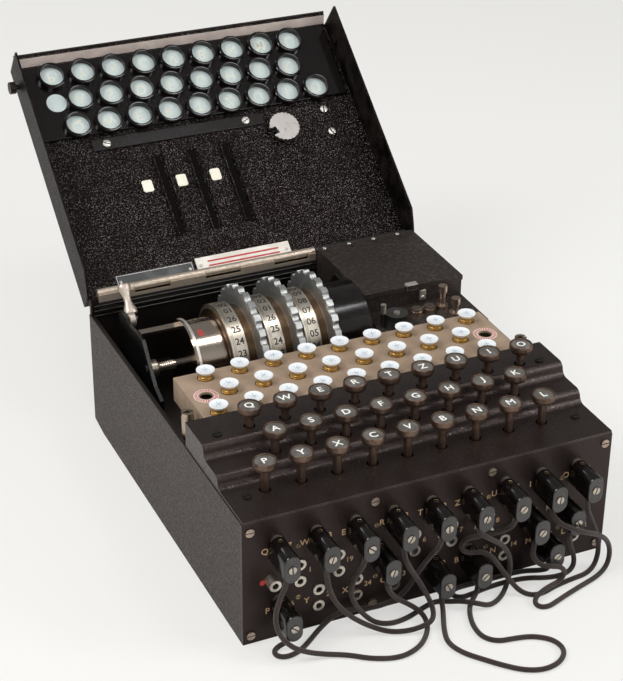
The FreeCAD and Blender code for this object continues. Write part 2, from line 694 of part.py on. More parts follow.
def key_places():
    """Every key: letter, x, y, cap height."""
    places = []
    for letters, (distance, height, offset) in key_rows:
        for letter, x in zip(letters, row_places(len(letters), offset, key_pitch)):
            places.append((letter, x, front_y + distance, height))
    return places


cover_screws = [(side * (cover_half_width - cover_screw_inset), front_y + distance, z) for side in (-1, 1)
                for distance, z in ((cover_screw_rear, cover_rear_height),
                                    (cover_screw_front, cover_front_height))]


def keyboard_cover():
    """Stepped sheet over the key rods, resting on the side walls and the panel."""
    low = cover_thickness
    ends = [Part.makeLine(V(0, front_y, cover_front_height), V(0, front_y, cover_front_height - low)),
            Part.makeLine(V(0, cover_rear_y, cover_rear_height), V(0, cover_rear_y, cover_rear_height - low))]
    sheet = cover_profile(0, cover_outline(low) + ends)
    sheet = sheet.extrude(X_AXIS * (2 * cover_half_width))
    sheet.translate(V(-cover_half_width, 0, 0))
    foot = side_wall_height
    shoulder = 0.5
    cheek_floor = [Part.makeLine(V(0, front_y, cover_front_height - shoulder), V(0, front_y, foot)),
                   Part.makeLine(V(0, front_y, foot), V(0, cover_rear_y, foot)),
                   Part.makeLine(V(0, cover_rear_y, foot), V(0, cover_rear_y, cover_rear_height - shoulder))]
    cheek = cover_profile(shoulder, cheek_floor).extrude(X_AXIS * cover_thickness)
    left = cheek.copy()
    left.translate(V(-cover_half_width, 0, 0))
    right = cheek.copy()
    right.translate(V(cover_half_width - cover_thickness, 0, 0))
    flange_half = inner_x - lip_width - face_gap
    flange = block(-flange_half, flange_half, panel_back_y, panel_back_y + lip_thickness,
                   side_wall_height - cover_front_flange, cover_front_height - low / 2)
    rear_lip = block(-cover_half_width, cover_half_width, cover_rear_y - cover_thickness, cover_rear_y,
                     cover_rear_height - low - cover_lip_drop, cover_rear_height - low / 2)
    cover = fused([sheet, left, right, flange, rear_lip])
    top = cover_rear_height + 1
    bottom = side_wall_height - 1
    holes = [rod((x, y, bottom), Z_AXIS, top - bottom, key_stem_radius + stem_clearance)
             for _, x, y, _ in key_places()]
    holes += [screw_hole(place, Z_AXIS, cover_thickness + 1) for place in cover_screws]
    holes += [screw_hole((x, front_y, z), Y_AXIS * -1, panel_thickness + lip_thickness)
              for x, y, z in panel_screws if z > side_wall_height / 2]
    return cover.cut(Part.makeCompound(holes))


def key(x, y, top):
    """A cap with a raised rim on a stem, stepped down to a thin rod, and its glass disc."""
    cap = rod((x, y, top - key_cap_height), Z_AXIS, key_cap_height, key_cap_radius)
    dish_depth = key_glass_recess + key_glass_thickness
    dish_radius = key_cap_radius - key_rim_width
    cap = cap.cut(rod((x, y, top - dish_depth), Z_AXIS, dish_depth + 1, dish_radius))
    stem = rod((x, y, key_shoulder_height), Z_AXIS, top - key_cap_height - key_shoulder_height + 1,
               key_stem_radius)
    thin = rod((x, y, key_foot_height), Z_AXIS, key_shoulder_height - key_foot_height + 1, key_rod_radius)
    glass = rod((x, y, top - dish_depth), Z_AXIS, key_glass_thickness, dish_radius - screw_clearance)
    return [fused([cap, stem, thin]), glass]


def key_springs():
    """One return spring per key, drawn as a sleeve between the guide and the stem's shoulder."""
    length = key_shoulder_height - guide_height
    return [tube((x, y, guide_height), Z_AXIS, length, spring_radius, spring_bore_radius)
            for _, x, y, _ in key_places()]


# ---------------------------------------------------------------- chassis
def chassis():
    """Deck on the tub's ledges, with the raised guide plate for the key rods."""
    deck_half = inner_x - face_gap
    deck = block(-deck_half, deck_half, deck_front_y, inner_rear_y - face_gap, deck_bottom, deck_height)
    plate = block(-guide_half_width, guide_half_width, guide_front_y, guide_rear_y,
                  guide_height - guide_thickness, guide_height)
    legs = [block(-guide_half_width, -guide_half_width + guide_leg_thickness, deck_front_y, guide_rear_y,
                  deck_height - 1, guide_height - 1),
            block(guide_half_width - guide_leg_thickness, guide_half_width, deck_front_y, guide_rear_y,
                  deck_height - 1, guide_height - 1)]
    body = fused([deck, plate] + legs)
    holes = [rod((x, y, guide_height - guide_thickness - 1), Z_AXIS, guide_thickness + 2,
                 key_rod_radius + running_fit) for _, x, y, _ in key_places()]
    drop = rotor_z - deck_height
    chord = math.sqrt(thumbwheel_radius ** 2 - drop ** 2) + 2 * working_gap
    half = thumbwheel_width / 2 + working_gap
    holes += [block(x - half, x + half, rotor_y - chord, rotor_y + chord, deck_bottom - 1, deck_height + 1)
              for x in wheel_x]
    return body.cut(Part.makeCompound(holes))


# ---------------------------------------------------------------- lamps
def lamp_places():
    """The x and y of every signal lamp."""
    return [(x, y) for letters, y, offset in lamp_rows for x in row_places(len(letters), offset, lamp_pitch)]


def lamp_panel():
    """Plate with turned-down ends and a hole for each lamp."""
    under = lamp_panel_height - lamp_panel_thickness
    top = block(-lamp_panel_half_width, lamp_panel_half_width, lamp_panel_front_y, lamp_panel_rear_y,
                under, lamp_panel_height)
    foot = lamp_panel_height - lamp_panel_flange
    ends = [block(-lamp_panel_half_width, -lamp_panel_half_width + lamp_panel_thickness,
                  lamp_panel_front_y, lamp_panel_rear_y, foot, under + 1),
            block(lamp_panel_half_width - lamp_panel_thickness, lamp_panel_half_width,
                  lamp_panel_front_y, lamp_panel_rear_y, foot, under + 1)]
    panel = fused([top] + ends)
    holes = [rod((x, y, under - 1), Z_AXIS, lamp_panel_thickness + 2, lamp_cap_radius + lamp_clearance)
             for x, y in lamp_places()]
    holes += [rod((side * spare_hole_x, lamp_middle_y, under - 1), Z_AXIS, lamp_panel_thickness + 2,
                  spare_hole_radius) for side in (-1, 1)]
    return panel.cut(Part.makeCompound(holes))


def signal_lamps():
    """Flat-topped lamps: brass cap on the lamp board, wider glass head above the panel."""
    lamps = []
    for x, y in lamp_places():
        cap_height = lamp_top_height - lamp_head_height - lamp_board_height
        cap = rod((x, y, lamp_board_height), Z_AXIS, cap_height, lamp_cap_radius)
        head = Part.makeCone(lamp_cap_radius, lamp_head_radius, lamp_head_height,
                             V(x, y, lamp_board_height + cap_height), Z_AXIS)
        lamps += [cap, head]
    return lamps


def lamp_board():
    """Insulating board that the lamps stand on, between the lamp panel's ends."""
    half = lamp_panel_half_width - lamp_panel_thickness
    return block(-half, half, lamp_panel_front_y + 1, lamp_panel_rear_y - 1,
                 lamp_board_height - lamp_board_thickness, lamp_board_height)


# ---------------------------------------------------------------- rotor carriage
def plate_outline(corners):
    """A bearing plate in (y, z), from the deck up to corners given from the rotors' axis."""
    front = (rotor_y + corners[0][0], deck_height)
    rear = (rotor_y + corners[-1][0], deck_height)
    return [front] + [(rotor_y + y, rotor_z + z) for y, z in corners] + [rear]


def bearing_hole(x0):
    """The spindle's hole in a bearing plate."""
    return rod((x0 - 1, rotor_y, rotor_z), X_AXIS, bearing_plate_thickness + 2, spindle_radius + running_fit)


def bar_hole(x0):
    """The stepping bar's hole in a bearing plate."""
    return rod((x0 - 1, bar_y, bar_z), X_AXIS, bearing_plate_thickness + 2, bar_radius + running_fit)


def rotor_frame():
    """Two bearing plates on the deck, the spindle between them and the lever's pin."""
    left = side_plate(plate_outline(left_plate_corners), left_plate_x, bearing_plate_thickness)
    right = side_plate(plate_outline(right_plate_corners), right_plate_x, bearing_plate_thickness)
    left_face = left_plate_x + bearing_plate_thickness
    foot_top = deck_height + plate_foot_thickness
    left_foot = block(left_plate_x, left_plate_x + plate_foot_depth, rotor_y + left_foot_front,
                      rotor_y + plate_foot_rear, deck_height, foot_top)
    right_foot = block(right_plate_x - plate_foot_depth, right_plate_x + bearing_plate_thickness,
                       rotor_y + right_foot_front, rotor_y + plate_foot_rear, deck_height, foot_top)
    left = fused([left, left_foot]).cut(bearing_hole(left_plate_x)).cut(bar_hole(left_plate_x))
    right = fused([right, right_foot]).cut(bearing_hole(right_plate_x)).cut(bar_hole(right_plate_x))
    lever_pin = rod((left_face, lever_pivot_y, lever_pivot_z), X_AXIS, lever_pin_length, lever_pin_radius)
    lug_corners = ((-8.0, -2.0), (8.0, -2.0), (6.0, 5.0), (-6.0, 5.0))
    lug = side_plate([(lever_pivot_y + y, lever_pivot_z + z) for y, z in lug_corners], left_plate_x,
                     bearing_plate_thickness)
    left = fused([left, lug, lever_pin])
    spindle = rod((left_plate_x - 1, rotor_y, rotor_z), X_AXIS,
                  right_plate_x + bearing_plate_thickness - left_plate_x + 1, spindle_radius)
    return [left, right, spindle]


def thumbwheel(x):
    """Thin wheel with a scalloped rim."""
    blank = rod((x - thumbwheel_width / 2, rotor_y, rotor_z), X_AXIS, thumbwheel_width, thumbwheel_radius)
    notches = []
    for k in range(thumb_notches):
        angle = 2 * math.pi * (k + 0.5) / thumb_notches
        y = rotor_y + (thumbwheel_radius + 1.0) * math.cos(angle)
        z = rotor_z + (thumbwheel_radius + 1.0) * math.sin(angle)
        notches.append(rod((x - thumbwheel_width / 2 - 1, y, z), X_AXIS, thumbwheel_width + 2,
                           thumb_notch_radius))
    return blank.cut(Part.makeCompound(notches))


def rotor(x):
    """Core with its thumbwheel, the journal that the index ring turns on, and a contact face each side."""
    wheel_left = x - thumbwheel_width / 2
    wheel_right = x + thumbwheel_width / 2
    ring_left = x + index_ring_left
    ring_right = ring_left + index_ring_width
    flange = rod((ring_left - core_flange_width, rotor_y, rotor_z), X_AXIS,
                 core_flange_width - face_gap, core_radius)
    journal = rod((ring_left - core_flange_width, rotor_y, rotor_z), X_AXIS,
                  index_ring_width + core_flange_width + 1, index_ring_bore - running_fit)
    core = rod((ring_right + face_gap, rotor_y, rotor_z), X_AXIS, wheel_left - ring_right, core_radius)
    contacts = rod((wheel_right - 1, rotor_y, rotor_z), X_AXIS, contact_height + 1, contact_radius)
    body = fused([flange, journal, core, contacts, thumbwheel(x)])
    bore = rod((ring_left - 5, rotor_y, rotor_z), X_AXIS, wheel_right + contact_height - ring_left + 10,
               spindle_radius + running_fit)
    return body.cut(bore)


def index_ring(x):
    """The numbered ring that turns on the rotor's journal."""
    return tube((x + index_ring_left, rotor_y, rotor_z), X_AXIS, index_ring_width, index_ring_radius,
                index_ring_bore)


def reflector():
    """Drum with a flange at its left end and the bar that guides it over the left plate."""
    drum = rod((reflector_left_x, rotor_y, rotor_z), X_AXIS, reflector_right_x - reflector_left_x,
               reflector_radius)
    flange = rod((reflector_left_x - reflector_flange_thickness, rotor_y, rotor_z), X_AXIS,
                 reflector_flange_thickness, reflector_flange_radius)
    body = drum.fuse(flange).removeSplitter()
    body = body.cut(rod((reflector_left_x - 5, rotor_y, rotor_z), X_AXIS, reflector_width + 10,
                        spindle_radius + running_fit))
    bar_front = rotor_y + guide_bar_front
    bar_bottom = rotor_z + left_plate_corners[3][1] + guide_bar_gap
    bar = block(left_plate_x + bearing_plate_thickness - 1.5, reflector_left_x - reflector_flange_thickness,
                bar_front, bar_front + guide_bar_width, bar_bottom, bar_bottom + guide_bar_thickness)
    return [body, bar]


def release_lever():
    """Hub on the lever pin, a waisted arm and a barrel-shaped knob."""
    x0 = lever_x - lever_width / 2
    y, z = lever_pivot_y, lever_pivot_z
    hub = rod((x0, y, z), X_AXIS, lever_width, lever_hub_radius)
    foot = side_plate([(y - 4.5, z + 4), (y + 5.5, z + 2), (y + 8.5, z + 8), (y + 3.5, z + 10)],
                      x0 - 0.6, lever_width + 1.2)
    arm = side_plate([(y + 2, z + 5), (y + 6, z + 3), (lever_knob_y + 1.4, lever_knob_z - 1.6),
                      (lever_knob_y - 1.4, lever_knob_z + 1.6)], x0 + 0.6, lever_width - 1.2)
    knob = rod((x0 - 1, lever_knob_y, lever_knob_z), X_AXIS, lever_width + 2, lever_knob_radius)
    body = fused([hub, foot, arm, knob])
    return body.cut(rod((x0 - 2, y, z), X_AXIS, lever_width + 6, lever_pin_radius + running_fit))


def entry_wheel():
    """Fixed drum against the right bearing plate."""
    return tube((entry_wheel_left_x, rotor_y, rotor_z), X_AXIS, entry_wheel_length, entry_wheel_radius,
                spindle_radius + running_fit)


def stepping_bar():
    """Cross bar in the bearing plates with a pawl behind each thumbwheel."""
    start = left_plate_x - 2
    length = right_plate_x + bearing_plate_thickness - start
    pieces = [rod((start, bar_y, bar_z), X_AXIS, length, bar_radius)]
    for x in wheel_x:
        outline = [(bar_y - 3, bar_z), (bar_y + 5, bar_z), (bar_y + 10, bar_z + pawl_reach),
                   (bar_y + 5.5, bar_z + pawl_reach + 1.5), (bar_y + 4, bar_z + pawl_reach * 0.5)]
        pieces.append(side_plate(outline, x - pawl_thickness / 2, pawl_thickness))
        pieces.append(rod((x - 3.5, bar_y, bar_z), X_AXIS, 7, 5.2))
    return fused(pieces)


# ---------------------------------------------------------------- battery box
box_hinge_z = box_height + 0.2
box_hinge_y = box_rear_y - box_hinge_radius


def battery_box():
    """Open-topped box with the terminal shelf in front of it, and its clasp."""
    outer = block(box_left_x, box_right_x, box_front_y, box_rear_y, deck_height, box_height)
    inner = block(box_left_x + box_wall, box_right_x - box_wall, box_front_y + box_wall,
                  box_rear_y - box_wall, deck_height + box_wall, box_height + 1)
    notch = block(box_left_x - 1, box_right_x + 1, box_rear_y - 2 * box_hinge_radius - face_gap,
                  box_rear_y + 1, box_height - box_hinge_radius - face_gap, box_height + 1)
    shelf = block(box_left_x, box_right_x, shelf_front_y, box_front_y + 1,
                  shelf_height - shelf_thickness, shelf_height)
    skirt = block(box_left_x, box_right_x, shelf_front_y, shelf_front_y + box_wall, deck_height, shelf_height)
    body = fused([outer.cut(inner).cut(notch), shelf, skirt])
    body = body.cut(rod((switch_x, switch_y, shelf_height - 4), Z_AXIS, 8, 2.5 + running_fit))
    clasp_x = box_middle_x + box_clasp_offset
    clasp_z = box_height - box_clasp_drop
    clasp = block(clasp_x - 2.5, clasp_x + 2.5, box_front_y - 1.0, box_front_y, clasp_z,
                  clasp_z + box_clasp_length)
    clasp = clasp.fuse(rod((clasp_x, box_front_y - 1.6, clasp_z + 1.9), Y_AXIS, 0.7, 1.2)).removeSplitter()
    return [body, clasp]


def battery_lid():
    """Flat lid with a lip in front, a rolled hinge edge behind, rivets and a lifting tab."""
    top = box_height + face_gap + box_lid_thickness
    front = box_front_y - box_lid_overhang
    sheet = block(box_left_x - 0.2, box_right_x + 0.2, front, box_hinge_y, box_height + face_gap, top)
    lip = block(box_left_x - 0.2, box_right_x + 0.2, front, front + box_lid_overhang - face_gap,
                top - box_lid_lip, top)
    roll = rod((box_left_x + 1, box_hinge_y, box_hinge_z), X_AXIS, box_right_x - box_left_x - 2,
               box_hinge_radius)
    rivet_first = box_left_x + box_rivet_inset
    rivet_pitch = (box_right_x - box_rivet_margin - rivet_first) / 3
    rivets = [rod((rivet_first + k * rivet_pitch, box_hinge_y - 5.5, top - 0.5), Z_AXIS, 1.1, 1.5)
              for k in range(4)]
    tab_x = box_middle_x + box_tab_offset
    tab = block(tab_x - 4.5, tab_x + 4.5, front - 0.8, front + 4.0, top - 0.1, top + 0.9)
    tab_drop = block(tab_x - 4.5, tab_x + 4.5, front - 1.6, front, top - 2.6, top + 0.9)
    return fused([sheet, lip, roll, tab, tab_drop] + rivets)


def power_switch():
    """Cup and disc on a stem in the shelf, with the pin that a finger pushes."""
    place = V(switch_x, switch_y, shelf_height + face_gap)
    cup = Part.makeCone(switch_cup_radius, switch_disc_radius, switch_cup_height, place, Z_AXIS)
    disc = rod((switch_x, switch_y, shelf_height + switch_cup_height), Z_AXIS,
               switch_disc_rise - switch_cup_height, switch_disc_radius)
    stem = rod((switch_x, switch_y, shelf_height - 3.5), Z_AXIS, 5, 2.5)
    angle = math.radians(switch_pin_angle)
    pin_x = switch_x + switch_pin_offset * math.cos(angle)
    pin_y = switch_y + switch_pin_offset * math.sin(angle)
    pin = rod((pin_x, pin_y, shelf_height + switch_pin_foot), Z_AXIS, switch_pin_rise - switch_pin_foot,
              switch_pin_radius)
    screw = rod((switch_x, switch_y, shelf_height + switch_disc_rise), Z_AXIS, 0.8, 2.2)
    return fused([cup, disc, stem, pin, screw])


# ---------------------------------------------------------------- fittings
def catch_post(x):
    """Round post on the deck with a slotted, bored top."""
    post = rod((x, catch_post_y, deck_height), Z_AXIS, catch_post_height - deck_height, catch_post_radius)
    bore = rod((x, catch_post_y, catch_post_height - 5), Z_AXIS, 6, 1.8)
    slit = block(x - catch_post_radius, x + catch_post_radius, catch_post_y - 0.7, catch_post_y + 0.7,
                 catch_post_height - 2, catch_post_height + 1)
    return post.cut(bore).cut(slit)


def terminal(x, y, top):
    """Terminal post: flange nut, stem and knurled head."""
    flange = rod((x, y, shelf_height), Z_AXIS, 3.0, 4.6)
    stem = rod((x, y, shelf_height), Z_AXIS, top - shelf_height - 1, 2.3)
    head = rod((x, y, top - 5.0), Z_AXIS, 5.0, 3.2)
    return fused([flange, stem, head])


def case_fittings():
    """Screws, posts, pillars and terminals that stay on the case."""
    screws = [slotted_screw(place, Y_AXIS * -1, panel_thickness + lip_thickness) for place in panel_screws]
    screws += [slotted_screw(place, Z_AXIS, cover_thickness + 0.6) for place in cover_screws]
    posts = [catch_post(side * catch_post_x) for side in (-1, 1)]
    pillar_top = lamp_board_height - lamp_board_thickness
    pillar_ys = (lamp_panel_front_y + pillar_front_inset, lamp_panel_rear_y - pillar_rear_inset)
    pillars = [rod((side * pillar_x, y, deck_height), Z_AXIS, pillar_top - deck_height, pillar_radius)
               for side in (-1, 1) for y in pillar_ys]
    shelf_screws = []
    for from_right, from_box in shelf_screw_insets:
        x, y = box_right_x - from_right, box_front_y - from_box
        base = rod((x, y, shelf_height), Z_AXIS, 3.0, 4.4)
        head = slotted_screw((x, y, shelf_height + 3.0), Z_AXIS, 0, 3.9, 1.6)
        shelf_screws.append(fused([base, head]))
    terminals = [terminal(box_right_x - from_right, box_front_y - from_box, shelf_height + rise)
                 for from_right, from_box, rise in terminal_insets]
    return screws + posts + pillars + shelf_screws + terminals


# ---------------------------------------------------------------- lid, made closed
def lid_point(distance, depth):
    """(y, z) of a point in the closed lid: distance forward of the hinge, depth below the outer face."""
    return (hinge_y - distance, lid_top - depth)


def lid_block(x0, x1, near, far, depth0, depth1):
    """A box in the closed lid."""
    return block(x0, x1, hinge_y - far, hinge_y - near, lid_top - depth1, lid_top - depth0)


def lid_rod(x, distance, depth0, depth1, radius):
    """A round bar through the closed lid's thickness."""
    return rod((x, hinge_y - distance, lid_top - depth1), Z_AXIS, depth1 - depth0, radius)


def swung_open(shape):
    """The shape turned from the closed place to the open rest place."""
    opened = shape.copy()
    opened.rotate(V(0, hinge_y, hinge_z), X_AXIS, -lid_open_angle)
    return opened


def lamp_windows():
    """(x, distance) of the windows over the lamps."""
    return [(x, hinge_y - y) for x, y in lamp_places()]


window_screw_x = window_plate_half_width - window_screw_inset
lid_screw_places = [(side * window_screw_x, window_plate_far - gap) for side in (-1, 1)
                    for gap in window_screw_gaps]
lid_screw_places += [(lid_screw_x, window_plate_near - gap) for gap in lid_screw_gaps]
stiffener_middle = (stiffener_near + stiffener_far) / 2
bar_screw_places = [(stiffener_left + stiffener_screw_insets[0], stiffener_middle),
                    (stiffener_right - stiffener_screw_insets[1], stiffener_middle)]


def slot_places():
    """(x, nearest, furthest) of the thumbwheel slots."""
    return [(x, slot_near, slot_far) for x in wheel_x]


def lid():
    """Sheet cover with side flanges, rear flange, sloping front edge and slots with cheeks."""
    skin = lid_block(-lid_half_width, lid_half_width, lid_rear, lid_front, 0, lid_sheet)
    rear = lid_block(-lid_half_width, lid_half_width, lid_rear, lid_rear + lid_sheet, 0, lid_rear_depth)
    flange_outline = [lid_point(lid_rear, 0), lid_point(lid_front, 0), lid_point(lid_front, lid_flange_depth)]
    flange_outline += [lid_point(lid_rear + run, lid_flange_depth - rise) for run, rise in lid_flange_rear]
    flange_outline.append(lid_point(lid_rear, lid_rear_depth))
    flanges = [side_plate(flange_outline, -lid_half_width, lid_sheet),
               side_plate(flange_outline, lid_half_width - lid_sheet, lid_sheet)]
    front_outline = [lid_point(lid_front - 1.0, 0), lid_point(lid_front, 0),
                     lid_point(lid_rim_front + 0.2, lid_front_depth - lid_sheet),
                     lid_point(lid_rim_front + lid_lip_width, lid_front_depth - lid_sheet),
                     lid_point(lid_rim_front + lid_lip_width, lid_front_depth),
                     lid_point(lid_rim_front - 1.2, lid_front_depth),
                     lid_point(lid_front - 1.6, lid_sheet)]
    front_half = lid_half_width - 3.0
    front = side_plate(front_outline, -front_half, 2 * front_half)
    cheeks = []
    openings = []
    for x, near, far in slot_places():
        wide = slot_width / 2 + slot_cheek_width
        cheeks.append(lid_block(x - wide, x + wide, near, far, lid_sheet - 0.5, lid_sheet + slot_cheek_depth))
        openings.append(lid_block(x - slot_width / 2, x + slot_width / 2, near, far, -1, 12))
        window_x = x + index_ring_left + index_ring_width / 2
        openings.append(lid_block(window_x - index_window_width / 2, window_x + index_window_width / 2,
                                  index_window_distance - index_window_length / 2,
                                  index_window_distance + index_window_length / 2, -1, 3))
    openings += [lid_rod(x, d, -1, 3, window_radius) for x, d in lamp_windows()]
    openings.append(lid_rod(spare_window_x, hinge_y - lamp_middle_y, -1, 3, window_radius))
    openings.append(lid_rod(switch_x, hinge_y - switch_y, -1, 3, dial_stem_radius + running_fit))
    for side in (-1, 1):
        openings.append(rod((side * (lid_half_width - lid_sheet - 1) - (0 if side > 0 else lid_sheet + 2),
                             hinge_y - catch_distance, lid_top - catch_depth), X_AXIS, lid_sheet + 3,
                            catch_stem_radius + running_fit))
    openings += [lid_rod(x, d, -1, 3, screw_shank_radius + screw_clearance)
                 for x, d in lid_screw_places + bar_screw_places]
    body = fused([skin, rear] + flanges + [front] + cheeks)
    return swung_open(body.cut(Part.makeCompound(openings)))


def lid_screws():
    """Stiffening bar and the screws inside the lid."""
    bar = lid_block(stiffener_left, stiffener_right, stiffener_near, stiffener_far, lid_sheet,
                    lid_sheet + stiffener_height)
    holes = [lid_rod(x, d, 0, 9, screw_shank_radius + screw_clearance) for x, d in bar_screw_places]
    bar = bar.cut(Part.makeCompound(holes))
    down = Z_AXIS * -1
    screws = [slotted_screw((x, hinge_y - d, lid_under), down, lid_sheet) for x, d in lid_screw_places]
    screws += [slotted_screw((x, hinge_y - d, lid_under - stiffener_height), down, lid_sheet + stiffener_height)
               for x, d in bar_screw_places]
    return [swung_open(piece) for piece in [bar] + screws]


def lid_windows():
    """Pale discs in the lid, the black plate with collars that holds them, and three index panes."""
    disc_top = lid_sheet
    disc_bottom = lid_sheet + window_disc_thickness
    plate_bottom = disc_bottom + window_plate_thickness
    places = lamp_windows()
    spare = (spare_window_x, hinge_y - lamp_middle_y)
    plate = lid_block(-window_plate_half_width, window_plate_half_width, window_plate_near,
                      window_plate_far, disc_top, plate_bottom)
    collars = [lid_rod(x, d, plate_bottom - 0.5, plate_bottom + collar_height, collar_radius)
               for x, d in places]
    plate = fused([plate] + collars)
    cuts = [lid_rod(x, d, 0, 12, window_radius) for x, d in places + [spare]]
    cuts += [lid_rod(x, d, disc_top - 1, disc_bottom, window_disc_radius) for x, d in places + [spare]]
    cuts += [lid_rod(x, d, 0, 12, screw_head_radius + 0.3) for x, d in lid_screw_places[:4]]
    plate = plate.cut(Part.makeCompound(cuts))
    discs = [lid_rod(x, d, disc_top, disc_bottom, window_disc_radius - screw_clearance)
             for x, d in places + [spare]]
    panes = []
    for x in wheel_x:
        window_x = x + index_ring_left + index_ring_width / 2
        panes.append(lid_block(window_x - index_window_width / 2, window_x + index_window_width / 2,
                               index_window_distance - index_window_length / 2,
                               index_window_distance + index_window_length / 2, 0.3, lid_sheet - 0.2))
    return [swung_open(piece) for piece in [plate] + discs + panes]


def nameplate(place):
    """A thin plate with a rivet at each end, on the lid's inner face."""
    x0, x1, near, far = place
    plate = lid_block(x0, x1, near, far, lid_sheet, lid_sheet + plate_thickness)
    middle = (near + far) / 2
    rivets = [lid_rod(x, middle, lid_sheet + plate_thickness - 0.2, lid_sheet + plate_thickness + 0.6, 1.1)
              for x in (x0 + 3.0, x1 - 3.0)]
    return fused([plate] + rivets)


def lid_fittings():
    """Everything fixed to the lid's inner face: two bare plates near the hinge, stiffening bar, screws."""
    return [swung_open(nameplate(place)) for place in (black_plate, white_plate)] + lid_screws()


def lid_switch_dial():
    """Serrated disc under the lid that takes the switch pin in its notch, on a stem with an outer knob."""
    y = switch_y
    face = lid_top - dial_height
    blank = rod((switch_x, y, face), Z_AXIS, dial_thickness, dial_radius)
    cuts = []
    for k in range(dial_teeth):
        angle = 2 * math.pi * k / dial_teeth
        cuts.append(rod((switch_x + (dial_radius + 0.5) * math.cos(angle),
                         y + (dial_radius + 0.5) * math.sin(angle), face - 1), Z_AXIS, dial_thickness + 2, 1.0))
    notch = block(-dial_radius - 3, -(switch_pin_offset - switch_pin_radius - 1), -dial_notch_width / 2,
                  dial_notch_width / 2, face - 1, face + dial_thickness + 1)
    notch.rotate(V(0, 0, 0), Z_AXIS, switch_pin_angle - 180)
    notch.translate(V(switch_x, y, 0))
    disc = blank.cut(Part.makeCompound(cuts)).cut(notch)
    boss = rod((switch_x, y, face + dial_thickness - 0.5), Z_AXIS,
               lid_under - face - dial_thickness + 0.5 - face_gap, 5.0)
    stem = rod((switch_x, y, face + 1), Z_AXIS, lid_top - face, dial_stem_radius)
    knob = rod((switch_x, y, lid_top + face_gap), Z_AXIS, 1.8, 7.0)
    grip = block(switch_x - 6.0, switch_x + 6.0, y - 1.2, y + 1.2, lid_top + 1.5, lid_top + 5.0)
    return swung_open(fused([disc, boss, stem, knob, grip]))


def lid_catch(side):
    """Push button outside the lid's flange, its stem and the hook inside."""
    y = hinge_y - catch_distance
    z = lid_top - catch_depth
    outer = side * lid_half_width
    gap = catch_travel + 0.3
    direction = X_AXIS * side
    button = rod((outer + side * gap, y, z), direction, catch_button_height, catch_button_radius)
    hook_x = side * (lid_half_width - lid_sheet - 0.2)
    stem = rod((hook_x, y, z), direction, lid_sheet + gap + 1, catch_stem_radius)
    hook = rod((hook_x, y, z), direction * -1, 1.2, 4.0)
    return swung_open(fused([button, stem, hook]))


# ---------------------------------------------------------------- hinge
def knuckle_spans(own):
    """The x spans of every second knuckle, the case's for own 0 and the lid's for own 1."""
    length = 2 * hinge_half_length / hinge_knuckles
    spans = []
    for k in range(own, hinge_knuckles, 2):
        start = -hinge_half_length + k * length
        spans.append((start + face_gap / 2, start + length - face_gap / 2))
    return spans


def case_hinge():
    """Case leaf with its knuckles, and the hinge rod."""
    front = inner_rear_y - leaf_thickness
    leaf = block(-hinge_half_length, hinge_half_length, front, inner_rear_y, hinge_z - 12,
                 hinge_z - hinge_radius - 0.4)
    pieces = [leaf]
    for x0, x1 in knuckle_spans(0):
        pieces.append(rod((x0, hinge_y, hinge_z), X_AXIS, x1 - x0, hinge_radius))
        pieces.append(block(x0, x1, front, inner_rear_y, hinge_z - 5, hinge_z))
        pieces.append(block(x0, x1, front, hinge_y - hinge_radius / 2, rear_wall_height + face_gap, hinge_z))
    body = fused(pieces)
    body = body.cut(rod((-half_width, hinge_y, hinge_z), X_AXIS, case_width, hinge_rod_radius + running_fit))
    pin = rod((-hinge_half_length, hinge_y, hinge_z), X_AXIS, 2 * hinge_half_length, hinge_rod_radius)
    return [body, pin]


def lid_hinge():
    """Lid leaf on the inner side of the lid's rear flange, with its knuckles."""
    near = lid_rear + lid_sheet
    leaf = lid_block(-hinge_half_length, hinge_half_length, near, near + leaf_thickness, 4.0,
                     lid_rear_depth - 0.2)
    pieces = [leaf]
    for x0, x1 in knuckle_spans(1):
        pieces.append(rod((x0, hinge_y, hinge_z), X_AXIS, x1 - x0, hinge_radius))
        pieces.append(lid_block(x0, x1, near, near + leaf_thickness, 4.0, lid_skin_height))
    body = fused(pieces)
    body = body.cut(rod((-half_width, hinge_y, hinge_z), X_AXIS, case_width, hinge_rod_radius + running_fit))
    return swung_open(body)


# ---------------------------------------------------------------- writing
def write(name, shapes):
    """Write one node from a shape or a list of shapes."""
    shapes = shapes if isinstance(shapes, list) else [shapes]
    solids = [solid for shape in shapes for solid in shape.Solids]
    assert solids and all(solid.isValid() for solid in solids), name
    Part.makeCompound(solids).exportStep("parts/%s.step" % name)
    print(name, len(solids), "solids")


